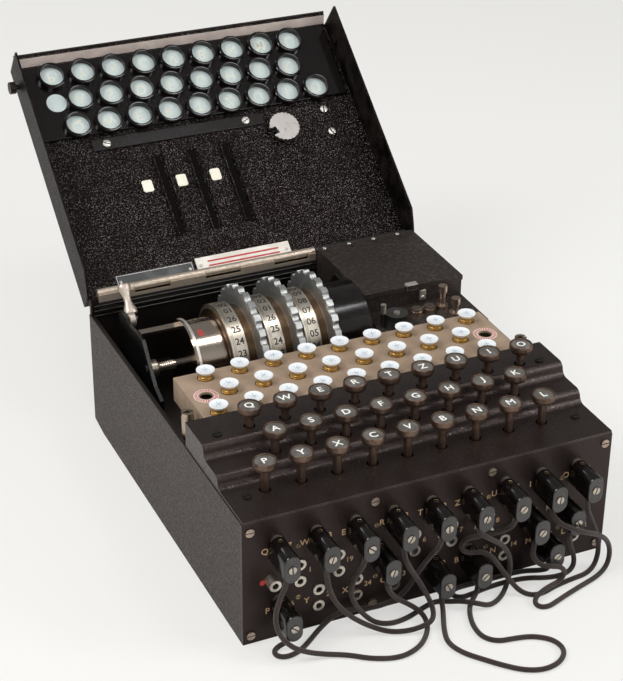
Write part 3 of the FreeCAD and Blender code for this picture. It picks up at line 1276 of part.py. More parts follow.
def main():
    """Build and write every node."""
    os.makedirs("parts", exist_ok=True)
    write("case_tub", case_tub())
    write("plugboard_panel", plugboard_panel())
    write("socket_board", socket_board())
    write("patch_plugs", patch_plugs())
    write("patch_cords", patch_cords())
    write("keyboard_cover", keyboard_cover())
    for letter, x, y, top in key_places():
        write("key_" + letter.lower(), key(x, y, top))
    write("key_springs", key_springs())
    write("chassis", chassis())
    write("lamp_panel", lamp_panel())
    write("signal_lamps", signal_lamps())
    write("lamp_board", lamp_board())
    write("rotor_frame", rotor_frame())
    for number, x in enumerate(wheel_x, 1):
        write("rotor_%d" % number, rotor(x))
        write("index_ring_%d" % number, index_ring(x))
    write("reflector", reflector())
    write("release_lever", release_lever())
    write("entry_wheel", entry_wheel())
    write("stepping_bar", stepping_bar())
    write("battery_box", battery_box())
    write("battery_lid", battery_lid())
    write("power_switch", power_switch())
    write("case_fittings", case_fittings())
    write("case_hinge", case_hinge())
    write("lid_hinge", lid_hinge())
    write("lid", lid())
    write("lid_windows", lid_windows())
    write("lid_fittings", lid_fittings())
    write("lid_switch_dial", lid_switch_dial())
    write("lid_catch_left", lid_catch(-1))
    write("lid_catch_right", lid_catch(1))


main()
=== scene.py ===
"""Looks of the rotor cipher machine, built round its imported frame.

Every length is in metres and every piece is placed in the frame's own axes: X to the operator's right,
Y back towards the hinge, Z up. Each sub-assembly is a class that holds its sizes, builds its meshes and
dresses the frame's nodes that it owns.
"""
from __future__ import annotations

import logging
import math
from dataclasses import dataclass, field
from enum import Enum
from typing import Callable, Iterable, Sequence

import bpy
from mathutils import Matrix, Vector

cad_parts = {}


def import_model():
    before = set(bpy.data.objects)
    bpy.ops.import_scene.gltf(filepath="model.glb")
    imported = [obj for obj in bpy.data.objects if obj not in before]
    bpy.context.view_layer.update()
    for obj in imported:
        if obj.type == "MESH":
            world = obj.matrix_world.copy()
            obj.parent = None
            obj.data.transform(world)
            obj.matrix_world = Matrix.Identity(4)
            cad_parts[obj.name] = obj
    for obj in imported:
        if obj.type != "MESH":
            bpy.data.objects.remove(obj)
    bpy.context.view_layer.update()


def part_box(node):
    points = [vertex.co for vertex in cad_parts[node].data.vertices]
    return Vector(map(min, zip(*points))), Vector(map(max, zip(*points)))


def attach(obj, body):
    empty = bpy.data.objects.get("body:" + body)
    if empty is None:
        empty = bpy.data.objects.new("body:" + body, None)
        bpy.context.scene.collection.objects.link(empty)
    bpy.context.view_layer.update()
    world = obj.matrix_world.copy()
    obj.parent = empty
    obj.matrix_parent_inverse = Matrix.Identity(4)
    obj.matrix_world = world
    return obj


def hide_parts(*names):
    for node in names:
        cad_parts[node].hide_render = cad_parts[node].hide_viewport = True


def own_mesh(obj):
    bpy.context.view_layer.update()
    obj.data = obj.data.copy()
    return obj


LOG = logging.getLogger("cipher_machine")
MM = 0.001
TINY = 1e-9
ACROSS = Vector((1.0, 0.0, 0.0))
UP = Vector((0.0, 0.0, 1.0))
Colour = tuple[float, float, float]
Pair = tuple[float, float]
Triple = tuple[float, float, float]
Socket = bpy.types.NodeSocket
Material = bpy.types.Material


def rgba(colour: Colour) -> tuple[float, float, float, float]:
    """A colour with full alpha."""
    return (*colour, 1.0)


def shaded(colour: Colour, share: float) -> Colour:
    """A colour brought down to a share of itself."""
    return tuple(share * part for part in colour)


def mm(*values: float) -> Vector:
    """A point given in millimetres."""
    return Vector(values) * MM


def sizes(*values: float) -> tuple[float, ...]:
    """Lengths given in millimetres."""
    return tuple(value * MM for value in values)


def pairs(*pairs: Pair) -> list[Pair]:
    """Pairs of lengths given in millimetres."""
    return [(first * MM, second * MM) for first, second in pairs]


# ---------------------------------------------------------------- node trees
class Graph:
    """A node tree that is filled by short calls."""

    def __init__(self, tree: bpy.types.NodeTree) -> None:
        """Start with the tree's nodes removed."""
        self.tree = tree
        tree.nodes.clear()

    def add(self, kind: str, inputs: dict | None = None, **settings: object) -> bpy.types.Node:
        """Add a node.

        Args:
            kind: The node's type name.
            inputs: Socket name or index, to a value or to the output socket that feeds it.
            settings: Properties of the node.

        Returns:
            The new node.
        """
        node = self.tree.nodes.new(kind)
        for key, value in settings.items():
            setattr(node, key, value)
        for key, value in (inputs or {}).items():
            self.join(value, node.inputs[key])
        return node

    def join(self, value: object, socket: Socket) -> None:
        """Feed an input socket.

        Args:
            value: An output socket to link, or a plain value to set.
            socket: The input socket.
        """
        if isinstance(value, Socket):
            self.tree.links.new(value, socket)
        else:
            socket.default_value = value

    def math(self, operation: str, first: object, second: object = 0.0) -> Socket:
        """A Math node's result."""
        return self.add("ShaderNodeMath", {0: first, 1: second}, operation=operation).outputs[0]

    def times(self, first: object, second: object) -> Socket:
        """A product."""
        return self.math("MULTIPLY", first, second)

    def along(self, where: Socket, direction: Sequence[float]) -> Socket:
        """How far a place, or a normal, reaches along a direction."""
        return self.add("ShaderNodeVectorMath", {0: where, 1: tuple(direction)},
                        operation="DOT_PRODUCT").outputs["Value"]

    def parts(self, where: Socket) -> Sequence[Socket]:
        """The three parts of a vector."""
        return self.add("ShaderNodeSeparateXYZ", {0: where}).outputs

    def step(self, value: object, low: float, high: float, start: float = 0.0, end: float = 1.0) -> Socket:
        """A smooth step.

        Args:
            value: What is looked at.
            low: Where the step begins.
            high: Where it ends, which may be below low.
            start: The result at low.
            end: The result at high.

        Returns:
            The result's socket.
        """
        node = self.add("ShaderNodeMapRange", {"Value": value, "From Min": low, "From Max": high,
                                               "To Min": start, "To Max": end},
                        interpolation_type="SMOOTHSTEP")
        return node.outputs["Result"]

    def mix(self, share: object, first: object, second: object) -> Socket:
        """A blend of two colours.

        Args:
            share: How much of the second colour shows.
            first: A colour, or the socket that gives it.
            second: The same.

        Returns:
            The blend's socket.
        """
        node = self.add("ShaderNodeMix", {"Factor": share}, data_type="RGBA")
        for socket, colour in ((node.inputs[6], first), (node.inputs[7], second)):
            self.join(colour if isinstance(colour, Socket) else rgba(colour), socket)
        return node.outputs[2]

    def noise(self, where: Socket, size: float, detail: float = 2.0, roughness: float = 0.5) -> Socket:
        """Noise whose blotches are about size metres wide."""
        return self.add("ShaderNodeTexNoise", {"Vector": where, "Scale": 1.0 / size, "Detail": detail,
                                               "Roughness": roughness}).outputs[0]


class Surface(Graph):
    """A material's node tree, with the shader that it feeds and the object's coordinates."""

    def __init__(self, tree: bpy.types.NodeTree) -> None:
        """Start with a Principled shader on the output."""
        super().__init__(tree)
        self.shader = self.add("ShaderNodeBsdfPrincipled")
        self.add("ShaderNodeOutputMaterial", {0: self.shader.outputs[0]})
        self.where = self.add("ShaderNodeTexCoord").outputs["Object"]

    def feed(self, name: str, value: object) -> None:
        """Link value to one of the shader's sockets, or set it there."""
        self.join(value, self.shader.inputs[name])

    def relief(self, height: Socket, depth: float) -> None:
        """Feed the shader's normal from a bump whose full height is depth metres."""
        self.feed("Normal", self.add("ShaderNodeBump", {"Strength": 1.0, "Distance": depth,
                                                        "Height": height}).outputs["Normal"])


@dataclass(frozen=True)
class Finish:
    """What every finish has: a name, a colour and how rough it is.

    Attributes:
        name: The material's name.
        colour: Its main colour.
        roughness: Roughness of the shader.
    """

    name: str
    colour: Colour
    roughness: float

    def build(self) -> Material:
        """Make the material, with the detail that the kind of finish adds.

        Returns:
            The node material.
        """
        material = bpy.data.materials.new(self.name)
        material.use_nodes = True
        surface = Surface(material.node_tree)
        surface.feed("Roughness", self.roughness)
        surface.feed("Base Color", rgba(self.colour))
        self.detail(surface, surface.where)
        material.diffuse_color = rgba(self.colour)
        return material

    def detail(self, surface: Surface, where: Socket) -> None:
        """Add this finish's own nodes.

        Args:
            surface: The material's node tree.
            where: Object coordinates.
        """
        raise NotImplementedError


@dataclass(frozen=True)
class CracklePaint(Finish):
    """Stove enamel that dried in fine wrinkles.

    Attributes:
        crest: Lighter colour on the wrinkles' crests, a painted glint that varies in slow patches.
        grain: Width of a wrinkle.
        relief: Height of a wrinkle.
        share: Where in the noise a crest begins, higher for fewer crests.
        sheen: Specular level.
        tint: Colour of what the varnish mirrors.
    """

    crest: Colour
    grain: float
    relief: float
    share: float
    sheen: float
    tint: Colour = (1.0, 0.83, 0.76)

    def detail(self, surface: Surface, where: Socket) -> None:
        """Wrinkles in gloss and height, and in colour with a painted glint on their crests that varies in
        slow patches.
        """
        wrinkle = surface.noise(where, self.grain, 2.5, 0.55)
        crest = surface.step(wrinkle, self.share, self.share + 0.16)
        glint_patches = surface.step(surface.noise(where, 0.05, 3.0), 0.35, 0.75, 0.55, 1.0)
        # The crests' lighter colour is a painted glint, weaker in slow patches.
        surface.feed("Base Color", surface.mix(surface.times(crest, glint_patches), self.colour, self.crest))
        surface.feed("Roughness", surface.step(wrinkle, 0.3, 0.75, self.roughness + 0.12,
                                               self.roughness - 0.12))
        self.varnish(surface)
        surface.relief(wrinkle, self.relief)

    def varnish(self, surface: Surface) -> None:
        """Set how strongly, and in what colour, the paint mirrors."""
        surface.feed("Specular IOR Level", self.sheen)
        surface.feed("Specular Tint", rgba(self.tint))


@dataclass(frozen=True)
class CasePaint(CracklePaint):
    """Wrinkle paint of an open tub, darker on its inner faces.

    Attributes:
        inside: Colour of the inner faces.
        half: Half the width and half the depth within which a face counts as inner.
    """

    inside: Colour = (0.004, 0.0034, 0.003)
    half: Pair = (0.1275, 0.1411)

    def detail(self, surface: Surface, where: Socket) -> None:
        """The wrinkles, with the inner faces darkened."""
        super().detail(surface, where)
        shown = surface.shader.inputs["Base Color"].links[0].from_socket
        parts = surface.parts(where)
        within = [surface.step(surface.math("ABSOLUTE", parts[axis]), half + 0.0001, half - 0.0001)
                  for axis, half in enumerate(self.half)]
        surface.feed("Base Color", surface.mix(surface.times(*within), shown, self.inside))


@dataclass(frozen=True)
class LidPaint(CracklePaint):
    """Wrinkle paint of the lid, with painted glints: coarse on its inner face, fine and browner elsewhere,
    and a painted reflection on a front strip.

    Attributes:
        flange: Lighter colour on the crests on the flanges and outside, a fainter painted glint.
        strip: Colour of the front strip, a painted reflection of light off the flange's inner face.
        inner_half: Half the width of the inner face.
        inner_depth: Depth below the lid's outer face at which the inner face begins.
        reflection_span: Where the strip starts and ends, forward of the hinge.
    """

    flange: Colour = (0.05, 0.04, 0.035)
    strip: Colour = (0.62, 0.53, 0.48)
    inner_half: Pair = (0.1275, 0.1279)
    inner_depth: Pair = (0.0012, 0.0008)
    reflection_span: tuple[Pair, Pair] = ((0.1952, 0.1956), (0.1996, 0.1993))

    def detail(self, surface: Surface, where: Socket) -> None:
        """Coarse wrinkles with painted glints on the inner face, fine ones on the rest, and the front strip's
        painted reflection, by place across the lid.
        """
        depth = surface.math("SUBTRACT", surface.along(where, LID.inward),
                             LID.inward.dot(LID.hinge) - LID.skin)
        run = surface.math("SUBTRACT", surface.along(where, LID.forward), LID.forward.dot(LID.hinge))
        side = surface.math("ABSOLUTE", surface.parts(where)[0])
        on_flange = surface.math("MAXIMUM", surface.step(side, *self.inner_half),
                                 surface.step(depth, *self.inner_depth))
        starts, ends = self.reflection_span
        on_reflection_strip = surface.times(surface.step(run, *starts), surface.step(run, *ends))
        leaning = surface.along(surface.add("ShaderNodeTexCoord").outputs["Normal"], LID.forward)
        on_reflection_strip = surface.times(on_reflection_strip, surface.step(leaning, 0.6, 0.3))
        coarse = surface.noise(where, self.grain, 1.5, 0.6)
        fine = surface.noise(where, self.grain * 0.5, 2.0, 0.5)
        patch = surface.step(surface.noise(where, 0.02, 3.0), 0.3, 0.7, 0.55, 1.0)
        # The inner face's crests and the fine outer crests get painted glints.
        crest = surface.times(surface.step(coarse, self.share, self.share + 0.13), patch)
        light_patches = surface.step(surface.noise(where, 0.012, 4.0), 0.3, 0.7)
        inner = surface.mix(crest, self.colour, self.crest)
        outer = surface.mix(surface.times(surface.step(fine, 0.45, 0.7), light_patches), self.colour, self.flange)
        # The front strip is a painted reflection, in tan with darker patches.
        painted_reflection = surface.mix(light_patches, self.strip, shaded(self.strip, 0.8))
        surface.feed("Base Color", surface.mix(on_reflection_strip, surface.mix(on_flange, inner, outer), painted_reflection))
        surface.feed("Roughness", surface.step(coarse, 0.35, 0.7, self.roughness + 0.1,
                                               self.roughness - 0.15))
        self.varnish(surface)
        surface.relief(surface.math("ADD", surface.times(coarse, surface.math("SUBTRACT", 1.0, on_flange)),
                                    surface.times(fine, surface.times(on_flange, 0.25))), self.relief)


@dataclass(frozen=True)
class Enamel(Finish):
    """Smooth paint or lacquer with faint orange peel and dust.

    Attributes:
        fade: Colour that the surface drifts to in patches.
        patch: Size of a patch.
        coat: Weight of a clear coat.
    """

    fade: Colour
    patch: float = 0.02
    coat: float = 0.0

    def detail(self, surface: Surface, where: Socket) -> None:
        """Patches of colour, specks and a little relief."""
        drift = surface.step(surface.noise(where, self.patch, 4.0), 0.3, 0.75)
        speck = surface.step(surface.noise(where, 0.0009, 3.0), 0.62, 0.74, 0.0, 0.5)
        base = surface.mix(drift, self.colour, self.fade)
        surface.feed("Base Color", surface.mix(speck, base, shaded(self.fade, 0.6)))
        surface.feed("Roughness", surface.step(drift, 0.0, 1.0, self.roughness,
                                               min(1.0, self.roughness + 0.12)))
        surface.feed("Coat Weight", self.coat)
        surface.feed("Coat Roughness", 0.06)
        surface.relief(surface.noise(where, 0.0012, 2.0), 0.00002)


class Grain(Enum):
    """How a metal's surface was worked."""

    CAST = 0
    TURNED = 1


@dataclass(frozen=True)
class Metal(Finish):
    """Bare or plated metal with tool marks and stains.

    Attributes:
        stain: Colour of handled or oxidised places.
        stained: Share of the surface that is stained.
        grain: How the surface was worked; turned marks run round the X axis.
        centre: (y, z) of the axis of turned marks.
    """

    stain: Colour
    stained: float
    grain: Grain = Grain.CAST
    centre: Pair = (0.0, 0.0)

    def marks(self, surface: Surface, where: Socket) -> Socket:
        """The tool marks' height.

        Args:
            surface: The material's node tree.
            where: Object coordinates.

        Returns:
            The height's socket.
        """
        if self.grain is Grain.CAST:
            return surface.noise(where, 0.0008, 4.0, 0.6)
        x, y, z = surface.parts(surface.add("ShaderNodeVectorMath", {0: where, 1: (0.0, *self.centre)},
                                            operation="SUBTRACT").outputs[0])
        radius = surface.math("SQRT", surface.math("ADD", surface.math("POWER", y, 2.0),
                                                   surface.math("POWER", z, 2.0)))
        rings = surface.add("ShaderNodeCombineXYZ", {0: x, 1: radius, 2: 0.0}).outputs[0]
        return surface.noise(rings, 0.0004, 3.0, 0.6)

    def detail(self, surface: Surface, where: Socket) -> None:
        """Stains in colour and gloss, and tool marks in height."""
        marks = self.marks(surface, where)
        spread = surface.noise(where, 0.006, 5.0, 0.65)
        stain = surface.step(spread, 0.7 - 0.45 * self.stained, 0.85 - 0.3 * self.stained)
        surface.feed("Base Color", surface.mix(stain, self.colour, self.stain))
        surface.feed("Metallic", 1.0)
        surface.feed("Roughness", surface.math("ADD", surface.step(
            marks, 0.2, 0.8, self.roughness * 0.8, self.roughness * 1.2), surface.times(stain, 0.15)))
        surface.relief(marks, 0.000012)


@dataclass(frozen=True)
class Moulded(Finish):
    """Moulded insulating material, glass or a pale disc, with a clear skin.

    Attributes:
        cloud: Colour of its slow clouds.
        cloudiness: How strongly they show.
        coat: Weight of the clear skin.
    """

    cloud: Colour
    cloudiness: float = 0.6
    coat: float = 0.3

    def detail(self, surface: Surface, where: Socket) -> None:
        """Slow clouds, fine dust and a clear skin."""
        cloud = surface.step(surface.noise(where, 0.007, 4.0), 0.35, 0.75, 0.0, self.cloudiness)
        surface.feed("Base Color", surface.mix(cloud, self.colour, self.cloud))
        dust = surface.noise(where, 0.0011, 3.0)
        surface.feed("Roughness", surface.step(dust, 0.4, 0.8, self.roughness, self.roughness + 0.14))
        surface.feed("Coat Weight", self.coat)
        surface.feed("Coat Roughness", 0.05)
        surface.relief(surface.noise(where, 0.004, 2.0), 0.000015)


@dataclass(frozen=True)
class Braid(Finish):
    """Woven sleeve of a patch cord, on a UV map that counts strands along and round.

    Attributes:
        thread: Colour of the paler threads.
    """

    thread: Colour

    def detail(self, surface: Surface, where: Socket) -> None:
        """Crossing threads in colour and height, with rubbed stretches."""
        braid = surface.parts(surface.add("ShaderNodeUVMap", uv_map="braid").outputs[0])
        left, right = (surface.math("SINE", surface.times(surface.math(turn, braid[0], braid[1]), math.tau))
                       for turn in ("ADD", "SUBTRACT"))
        shade = surface.step(surface.math("MAXIMUM", left, right), -0.2, 1.0)
        rub = surface.step(surface.noise(where, 0.01, 3.0), 0.3, 0.75, 0.35, 1.0)
        fuzz = surface.noise(where, 0.0003, 2.0)
        share = surface.times(surface.times(shade, rub), surface.step(fuzz, 0.3, 0.7, 0.6, 1.0))
        surface.feed("Base Color", surface.mix(share, self.colour, self.thread))
        surface.feed("Sheen Weight", 0.25)
        surface.feed("Sheen Roughness", 0.5)
        surface.feed("Specular IOR Level", 0.3)
        surface.relief(surface.math("ADD", shade, surface.times(fuzz, 0.5)), 0.00012)


@dataclass(frozen=True)
class Zoned(Finish):
    """Metal that changes to another finish within a zone, such as a painted stretch of a strip.

    Attributes:
        other: The colour in the zone.
        normal: The direction that the zone is measured along.
        zone: Where it starts and ends along that direction.
        metal: Metallic share outside the zone and in it.
        other_roughness: Roughness in the zone.
        until: World X beyond which there is no zone.
    """

    other: Colour
    normal: Triple
    zone: Pair
    metal: Pair
    other_roughness: float
    until: float = 1.0

    def detail(self, surface: Surface, where: Socket) -> None:
        """Two finishes with a sharp edge between them, both lightly stained."""
        blur = 0.00003
        place = surface.along(where, self.normal)
        start, end = self.zone
        there = surface.times(surface.step(place, start - blur, start + blur),
                              surface.step(place, end + blur, end - blur))
        there = surface.times(there, surface.step(surface.parts(where)[0], self.until + blur,
                                                  self.until - blur))
        stain = surface.step(surface.noise(where, 0.004, 5.0), 0.42, 0.8, 0.0, 0.6)
        clean = surface.mix(there, self.colour, self.other)
        dull = surface.mix(there, shaded(self.colour, 0.55), shaded(self.other, 0.7))
        surface.feed("Base Color", surface.mix(stain, clean, dull))
        surface.feed("Metallic", surface.step(there, 0.0, 1.0, *self.metal))
        surface.feed("Roughness", surface.math("ADD", surface.step(
            there, 0.0, 1.0, self.roughness, self.other_roughness), surface.times(stain, 0.2)))
        surface.relief(surface.noise(where, 0.0008, 3.0), 0.00001)


# ---------------------------------------------------------------- the lid's own axes
@dataclass(frozen=True)
class LidAxes:
    """The open lid's axes: forward from the hinge along the lid, and inward from its skin.

    Attributes:
        hinge: A point on the hinge axis.
        angle: How far the lid stands open, in degrees.
        skin: Distance from the hinge axis up to the outer face when closed.
    """

    hinge: Vector = field(default_factory=lambda: mm(0.0, 141.8, 105.0))
    angle: float = 141.6
    skin: float = 15.0 * MM

    @property
    def forward(self) -> Vector:
        """From the hinge towards the lid's front edge."""
        turn = math.radians(self.angle)
        return Vector((0.0, -math.cos(turn), math.sin(turn)))

    @property
    def inward(self) -> Vector:
        """Out of the lid's inner face."""
        turn = math.radians(self.angle)
        return Vector((0.0, -math.sin(turn), -math.cos(turn)))

    def place(self, x: float, distance: float, depth: float) -> Vector:
        """A point in the lid.

        Args:
            x: Across the machine.
            distance: Forward of the hinge axis.
            depth: Below the lid's outer face.

        Returns:
            The point where the open lid has it.
        """
        return self.hinge + ACROSS * x + self.forward * distance + self.inward * (depth - self.skin)

    def matrix(self, x: float, distance: float, depth: float, flipped: bool = False) -> Matrix:
        """A frame on the inner face: X across, Y forward (or back when flipped), Z out of the face."""
        up = -self.forward if flipped else self.forward
        return self.frame(self.place(x, distance, depth), up, self.inward)

    def outer(self, x: float, distance: float, depth: float) -> Matrix:
        """A frame on the outer face: X across, Y back, Z out of the closed lid's top."""
        return self.frame(self.place(x, distance, depth), -self.forward, -self.inward)

    @staticmethod
    def frame(middle: Vector, up: Vector, out: Vector) -> Matrix:
        """A frame with X across the machine and the given Y and Z axes."""
        return Matrix.Translation(middle) @ Matrix((ACROSS, up, out)).transposed().to_4x4()


LID = LidAxes()


# ---------------------------------------------------------------- shapes
SHARP = 32.0  # degrees between two faces, from which their edge is drawn sharp
LEAST_COSINE = 0.3  # keeps an outline's very sharp corners from running away when it is inset


class Sketch:
    """A mesh put together from turned, drawn and lettered shapes, each with its own finish."""

    def __init__(self) -> None:
        """Start empty."""
        self.points: list[Vector] = []
        self.faces: list[tuple[int, ...]] = []
        self.slots: list[int] = []

    def take(self, points: Iterable[Vector], faces: Iterable[Sequence[int]], slot: int = 0,
             place: Matrix | None = None) -> None:
        """Add a shape.

        Args:
            points: Its points.
            faces: Its faces, as indices into points.
            slot: The finish that it takes.
            place: Where it goes.
        """
        base = len(self.points)
        self.points += [place @ point if place else point.copy() for point in points]
        mirrored = place is not None and place.determinant() < 0.0
        for face in faces:
            corners = tuple(base + index for index in face)
            self.faces.append(corners[::-1] if mirrored else corners)
            self.slots.append(slot)

    def turned(self, profile: Sequence[Pair], place: Matrix | None = None, slot: int = 0,
               steps: int = 40) -> None:
        """A shape turned about the place's Z axis.

        Args:
            profile: (radius, height) from the lower end to the upper one; a radius of 0 closes an end.
            place: The axis, the Z axis itself when left out.
            slot: The finish.
            steps: Facets round the axis.
        """
        points: list[Vector] = []
        rows: list[list[int]] = []
        for radius, height in profile:
            if radius <= TINY:
                rows.append([len(points)])
                points.append(Vector((0.0, 0.0, height)))
                continue
            rows.append(list(range(len(points), len(points) + steps)))
            for k in range(steps):
                turn = math.tau * k / steps
                points.append(Vector((radius * math.cos(turn), radius * math.sin(turn), height)))
        faces: list[tuple[int, ...]] = []
        for low, high in zip(rows, rows[1:]):
            for k in range(steps):
                after = (k + 1) % steps
                if len(low) == 1:
                    faces.append((low[0], high[after], high[k]))
                elif len(high) == 1:
                    faces.append((low[k], low[after], high[0]))
                else:
                    faces.append((low[k], low[after], high[after], high[k]))
        self.take(points, faces, slot, place)

    def drawn(self, outline: Sequence[Pair], layers: Sequence[Pair],
              place: Matrix | None = None, slot: int = 0) -> None:
        """A prism whose outline shrinks from layer to layer, closed at both ends.

        Args:
            outline: Counter-clockwise (x, y) points of a convex outline.
            layers: (inset, height) from the lowest to the highest.
            place: Where it goes.
            slot: The finish.
        """
        count = len(outline)
        points: list[Vector] = []
        for inset, height in layers:
            points += [Vector((x, y, height)) for x, y in inset_outline(outline, inset)]
        faces: list[tuple[int, ...]] = [tuple(reversed(range(count)))]
        for row in range(len(layers) - 1):
            for k in range(count):
                after = (k + 1) % count
                faces.append((row * count + k, row * count + after, (row + 1) * count + after,
                              (row + 1) * count + k))
        faces.append(tuple(range((len(layers) - 1) * count, len(layers) * count)))
        self.take(points, faces, slot, place)

    def lettered(self, text: str, height: float, place: Matrix | None = None, slot: int = 0,
                 weight: float = 0.0, thickness: float = 0.06 * MM,
                 wrap: Callable[[Vector], Vector] | None = None) -> None:
        """Letters, centred on the place and standing out along its Z axis.

        Args:
            text: What is written.
            height: Height of a capital.
            place: The middle of the text.
            slot: The finish.
            weight: How much the strokes are thickened.
            thickness: How far the letters stand out.
            wrap: Bends the flat letters, before they are placed.
        """
        points, faces = letter_shapes(text, height, weight, thickness)
        if wrap is not None:
            points = [wrap(point) for point in points]
        self.take(points, faces, slot, place)

    def mesh(self, name: str, finishes: Sequence[Material]) -> bpy.types.Mesh:
        """The mesh, smooth except along its sharp edges.

        Args:
            name: The mesh's name.
            finishes: Its materials.

        Returns:
            The new mesh.
        """
        mesh = bpy.data.meshes.new(name)
        mesh.from_pydata([tuple(point) for point in self.points], [], self.faces)
        for finish in finishes:
            mesh.materials.append(finish)
        mesh.polygons.foreach_set("material_index", self.slots)
        mesh.shade_smooth()
        mesh.set_sharp_from_angle(angle=math.radians(SHARP))
        mesh.validate()
        return mesh

    def piece(self, name: str, finishes: Sequence[Material], body: str,
              node: str | None = None) -> bpy.types.Object:
        """Put the mesh into the scene as a piece that rides on a body.

        Args:
            name: The piece's name.
            finishes: Its materials, in the order of the slots used.
            body: The body it rides on.
            node: The node that it stands for, which it hides.

        Returns:
            The new object.
        """
        return settle(name, self.mesh(name, finishes), body, node)


def settle(name: str, mesh: bpy.types.Mesh, body: str, node: str | None = None) -> bpy.types.Object:
    """Link a mesh as a piece riding on a body, and report it.

    Args:
        name: The piece's name.
        mesh: Its mesh.
        body: The body it rides on.
        node: The node that it stands for, which it hides.

    Returns:
        The new object.
    """
    piece = bpy.data.objects.new(name, mesh)
    bpy.context.scene.collection.objects.link(piece)
    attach(piece, body)
    if node is not None:
        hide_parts(node)
    LOG.info("piece %s on %s, %d faces", name, body, len(mesh.polygons))
    return piece


def inset_outline(outline: Sequence[Pair], inset: float) -> list[Pair]:
    """A convex outline moved inwards along its corners' bisectors.

    Args:
        outline: Counter-clockwise (x, y) points.
        inset: How far each side moves in.

    Returns:
        The moved points.
    """
    if abs(inset) < TINY:
        return list(outline)
    moved = []
    count = len(outline)
    for k, corner in enumerate(outline):
        here = Vector(corner)
        before = (here - Vector(outline[k - 1])).normalized()
        after = (Vector(outline[(k + 1) % count]) - here).normalized()
        normal = Vector((-(before.y + after.y), before.x + after.x))
        if normal.length < TINY:
            normal = Vector((-before.y, before.x))
        normal.normalize()
        reach = inset / max(LEAST_COSINE, normal.dot(Vector((-before.y, before.x))))
        moved.append(tuple(here + normal * reach))
    return moved


def rod(radius: float, length: float) -> list[Pair]:
    """The profile of a plain rod from Z = 0 up."""
    return [(0.0, 0.0), (radius, 0.0), (radius, length), (0.0, length)]


def stadium(width: float, height: float, steps: int) -> list[Pair]:
    """A round-ended outline, taller than wide.

    Args:
        width: Across the rounds.
        height: From end to end.
        steps: Facets of each round.

    Returns:
        Counter-clockwise (x, y) points.
    """
    radius = width / 2
    half = height / 2 - radius
    points = []
    for middle, start in ((half, 0.0), (-half, math.pi)):
        for k in range(steps + 1):
            turn = start + math.pi * k / steps
            points.append((radius * math.cos(turn), middle + radius * math.sin(turn)))
    return points


def rounded_box(width: float, height: float, radius: float, steps: int = 4) -> list[Pair]:
    """A rectangle with rounded corners.

    Args:
        width: Along X.
        height: Along Y.
        radius: Of the corners.
        steps: Facets of each corner.

    Returns:
        Counter-clockwise (x, y) points.
    """
    points = []
    for sign_x, sign_y, start in ((1, 1, 0.0), (-1, 1, 0.5), (-1, -1, 1.0), (1, -1, 1.5)):
        for k in range(steps + 1):
            turn = math.pi * (start + 0.5 * k / steps)
            points.append((sign_x * (width / 2 - radius) + radius * math.cos(turn),
                           sign_y * (height / 2 - radius) + radius * math.sin(turn)))
    return points


CAPITAL_HEIGHT = 0.73  # of the built-in font, as a share of its size
_LETTERS: dict[tuple[str, float], tuple[list[Vector], list[tuple[int, ...]]]] = {}


def letter_shapes(text: str, height: float, weight: float,
                  thickness: float) -> tuple[list[Vector], list[tuple[int, ...]]]:
    """The mesh of some letters, centred, in a capital height of its own.

    Args:
        text: What is written.
        height: Height of a capital.
        weight: How much the strokes are thickened, as a share of the height.
        thickness: How far they stand out.

    Returns:
        Points and faces.
    """
    key = (text, weight)
    if key not in _LETTERS:
        curve = bpy.data.curves.new("lettering", "FONT")
        curve.body = text
        curve.size = 1.0
        curve.align_x = "CENTER"
        curve.resolution_u = 3
        curve.extrude = 0.5
        curve.offset = weight
        holder = bpy.data.objects.new("lettering", curve)
        bpy.context.scene.collection.objects.link(holder)
        drawn = bpy.data.meshes.new_from_object(holder.evaluated_get(bpy.context.evaluated_depsgraph_get()))
        _LETTERS[key] = ([point.co.copy() for point in drawn.vertices],
                         [tuple(face.vertices) for face in drawn.polygons])
        bpy.data.objects.remove(holder)
        bpy.data.curves.remove(curve)
        bpy.data.meshes.remove(drawn)
    points, faces = _LETTERS[key]
    scale = height / CAPITAL_HEIGHT
    middle_x = (min(p.x for p in points) + max(p.x for p in points)) / 2
    middle_y = (min(p.y for p in points) + max(p.y for p in points)) / 2
    return [Vector(((p.x - middle_x) * scale, (p.y - middle_y) * scale,
                    p.z * thickness)) for p in points], faces


def facing(point: Vector, axis: Vector) -> Matrix:
    """A frame at point whose Z axis is axis."""
    return Matrix.Translation(point) @ axis.normalized().to_track_quat("Z", "Y").to_matrix().to_4x4()


def front_frame(x: float, y: float, z: float) -> Matrix:
    """A frame on a surface that faces the operator: X across, Y up, Z out of it."""
    turn = Matrix(((1.0, 0.0, 0.0), (0.0, 0.0, -1.0), (0.0, 1.0, 0.0))).to_4x4()
    return Matrix.Translation(Vector((x, y, z))) @ turn


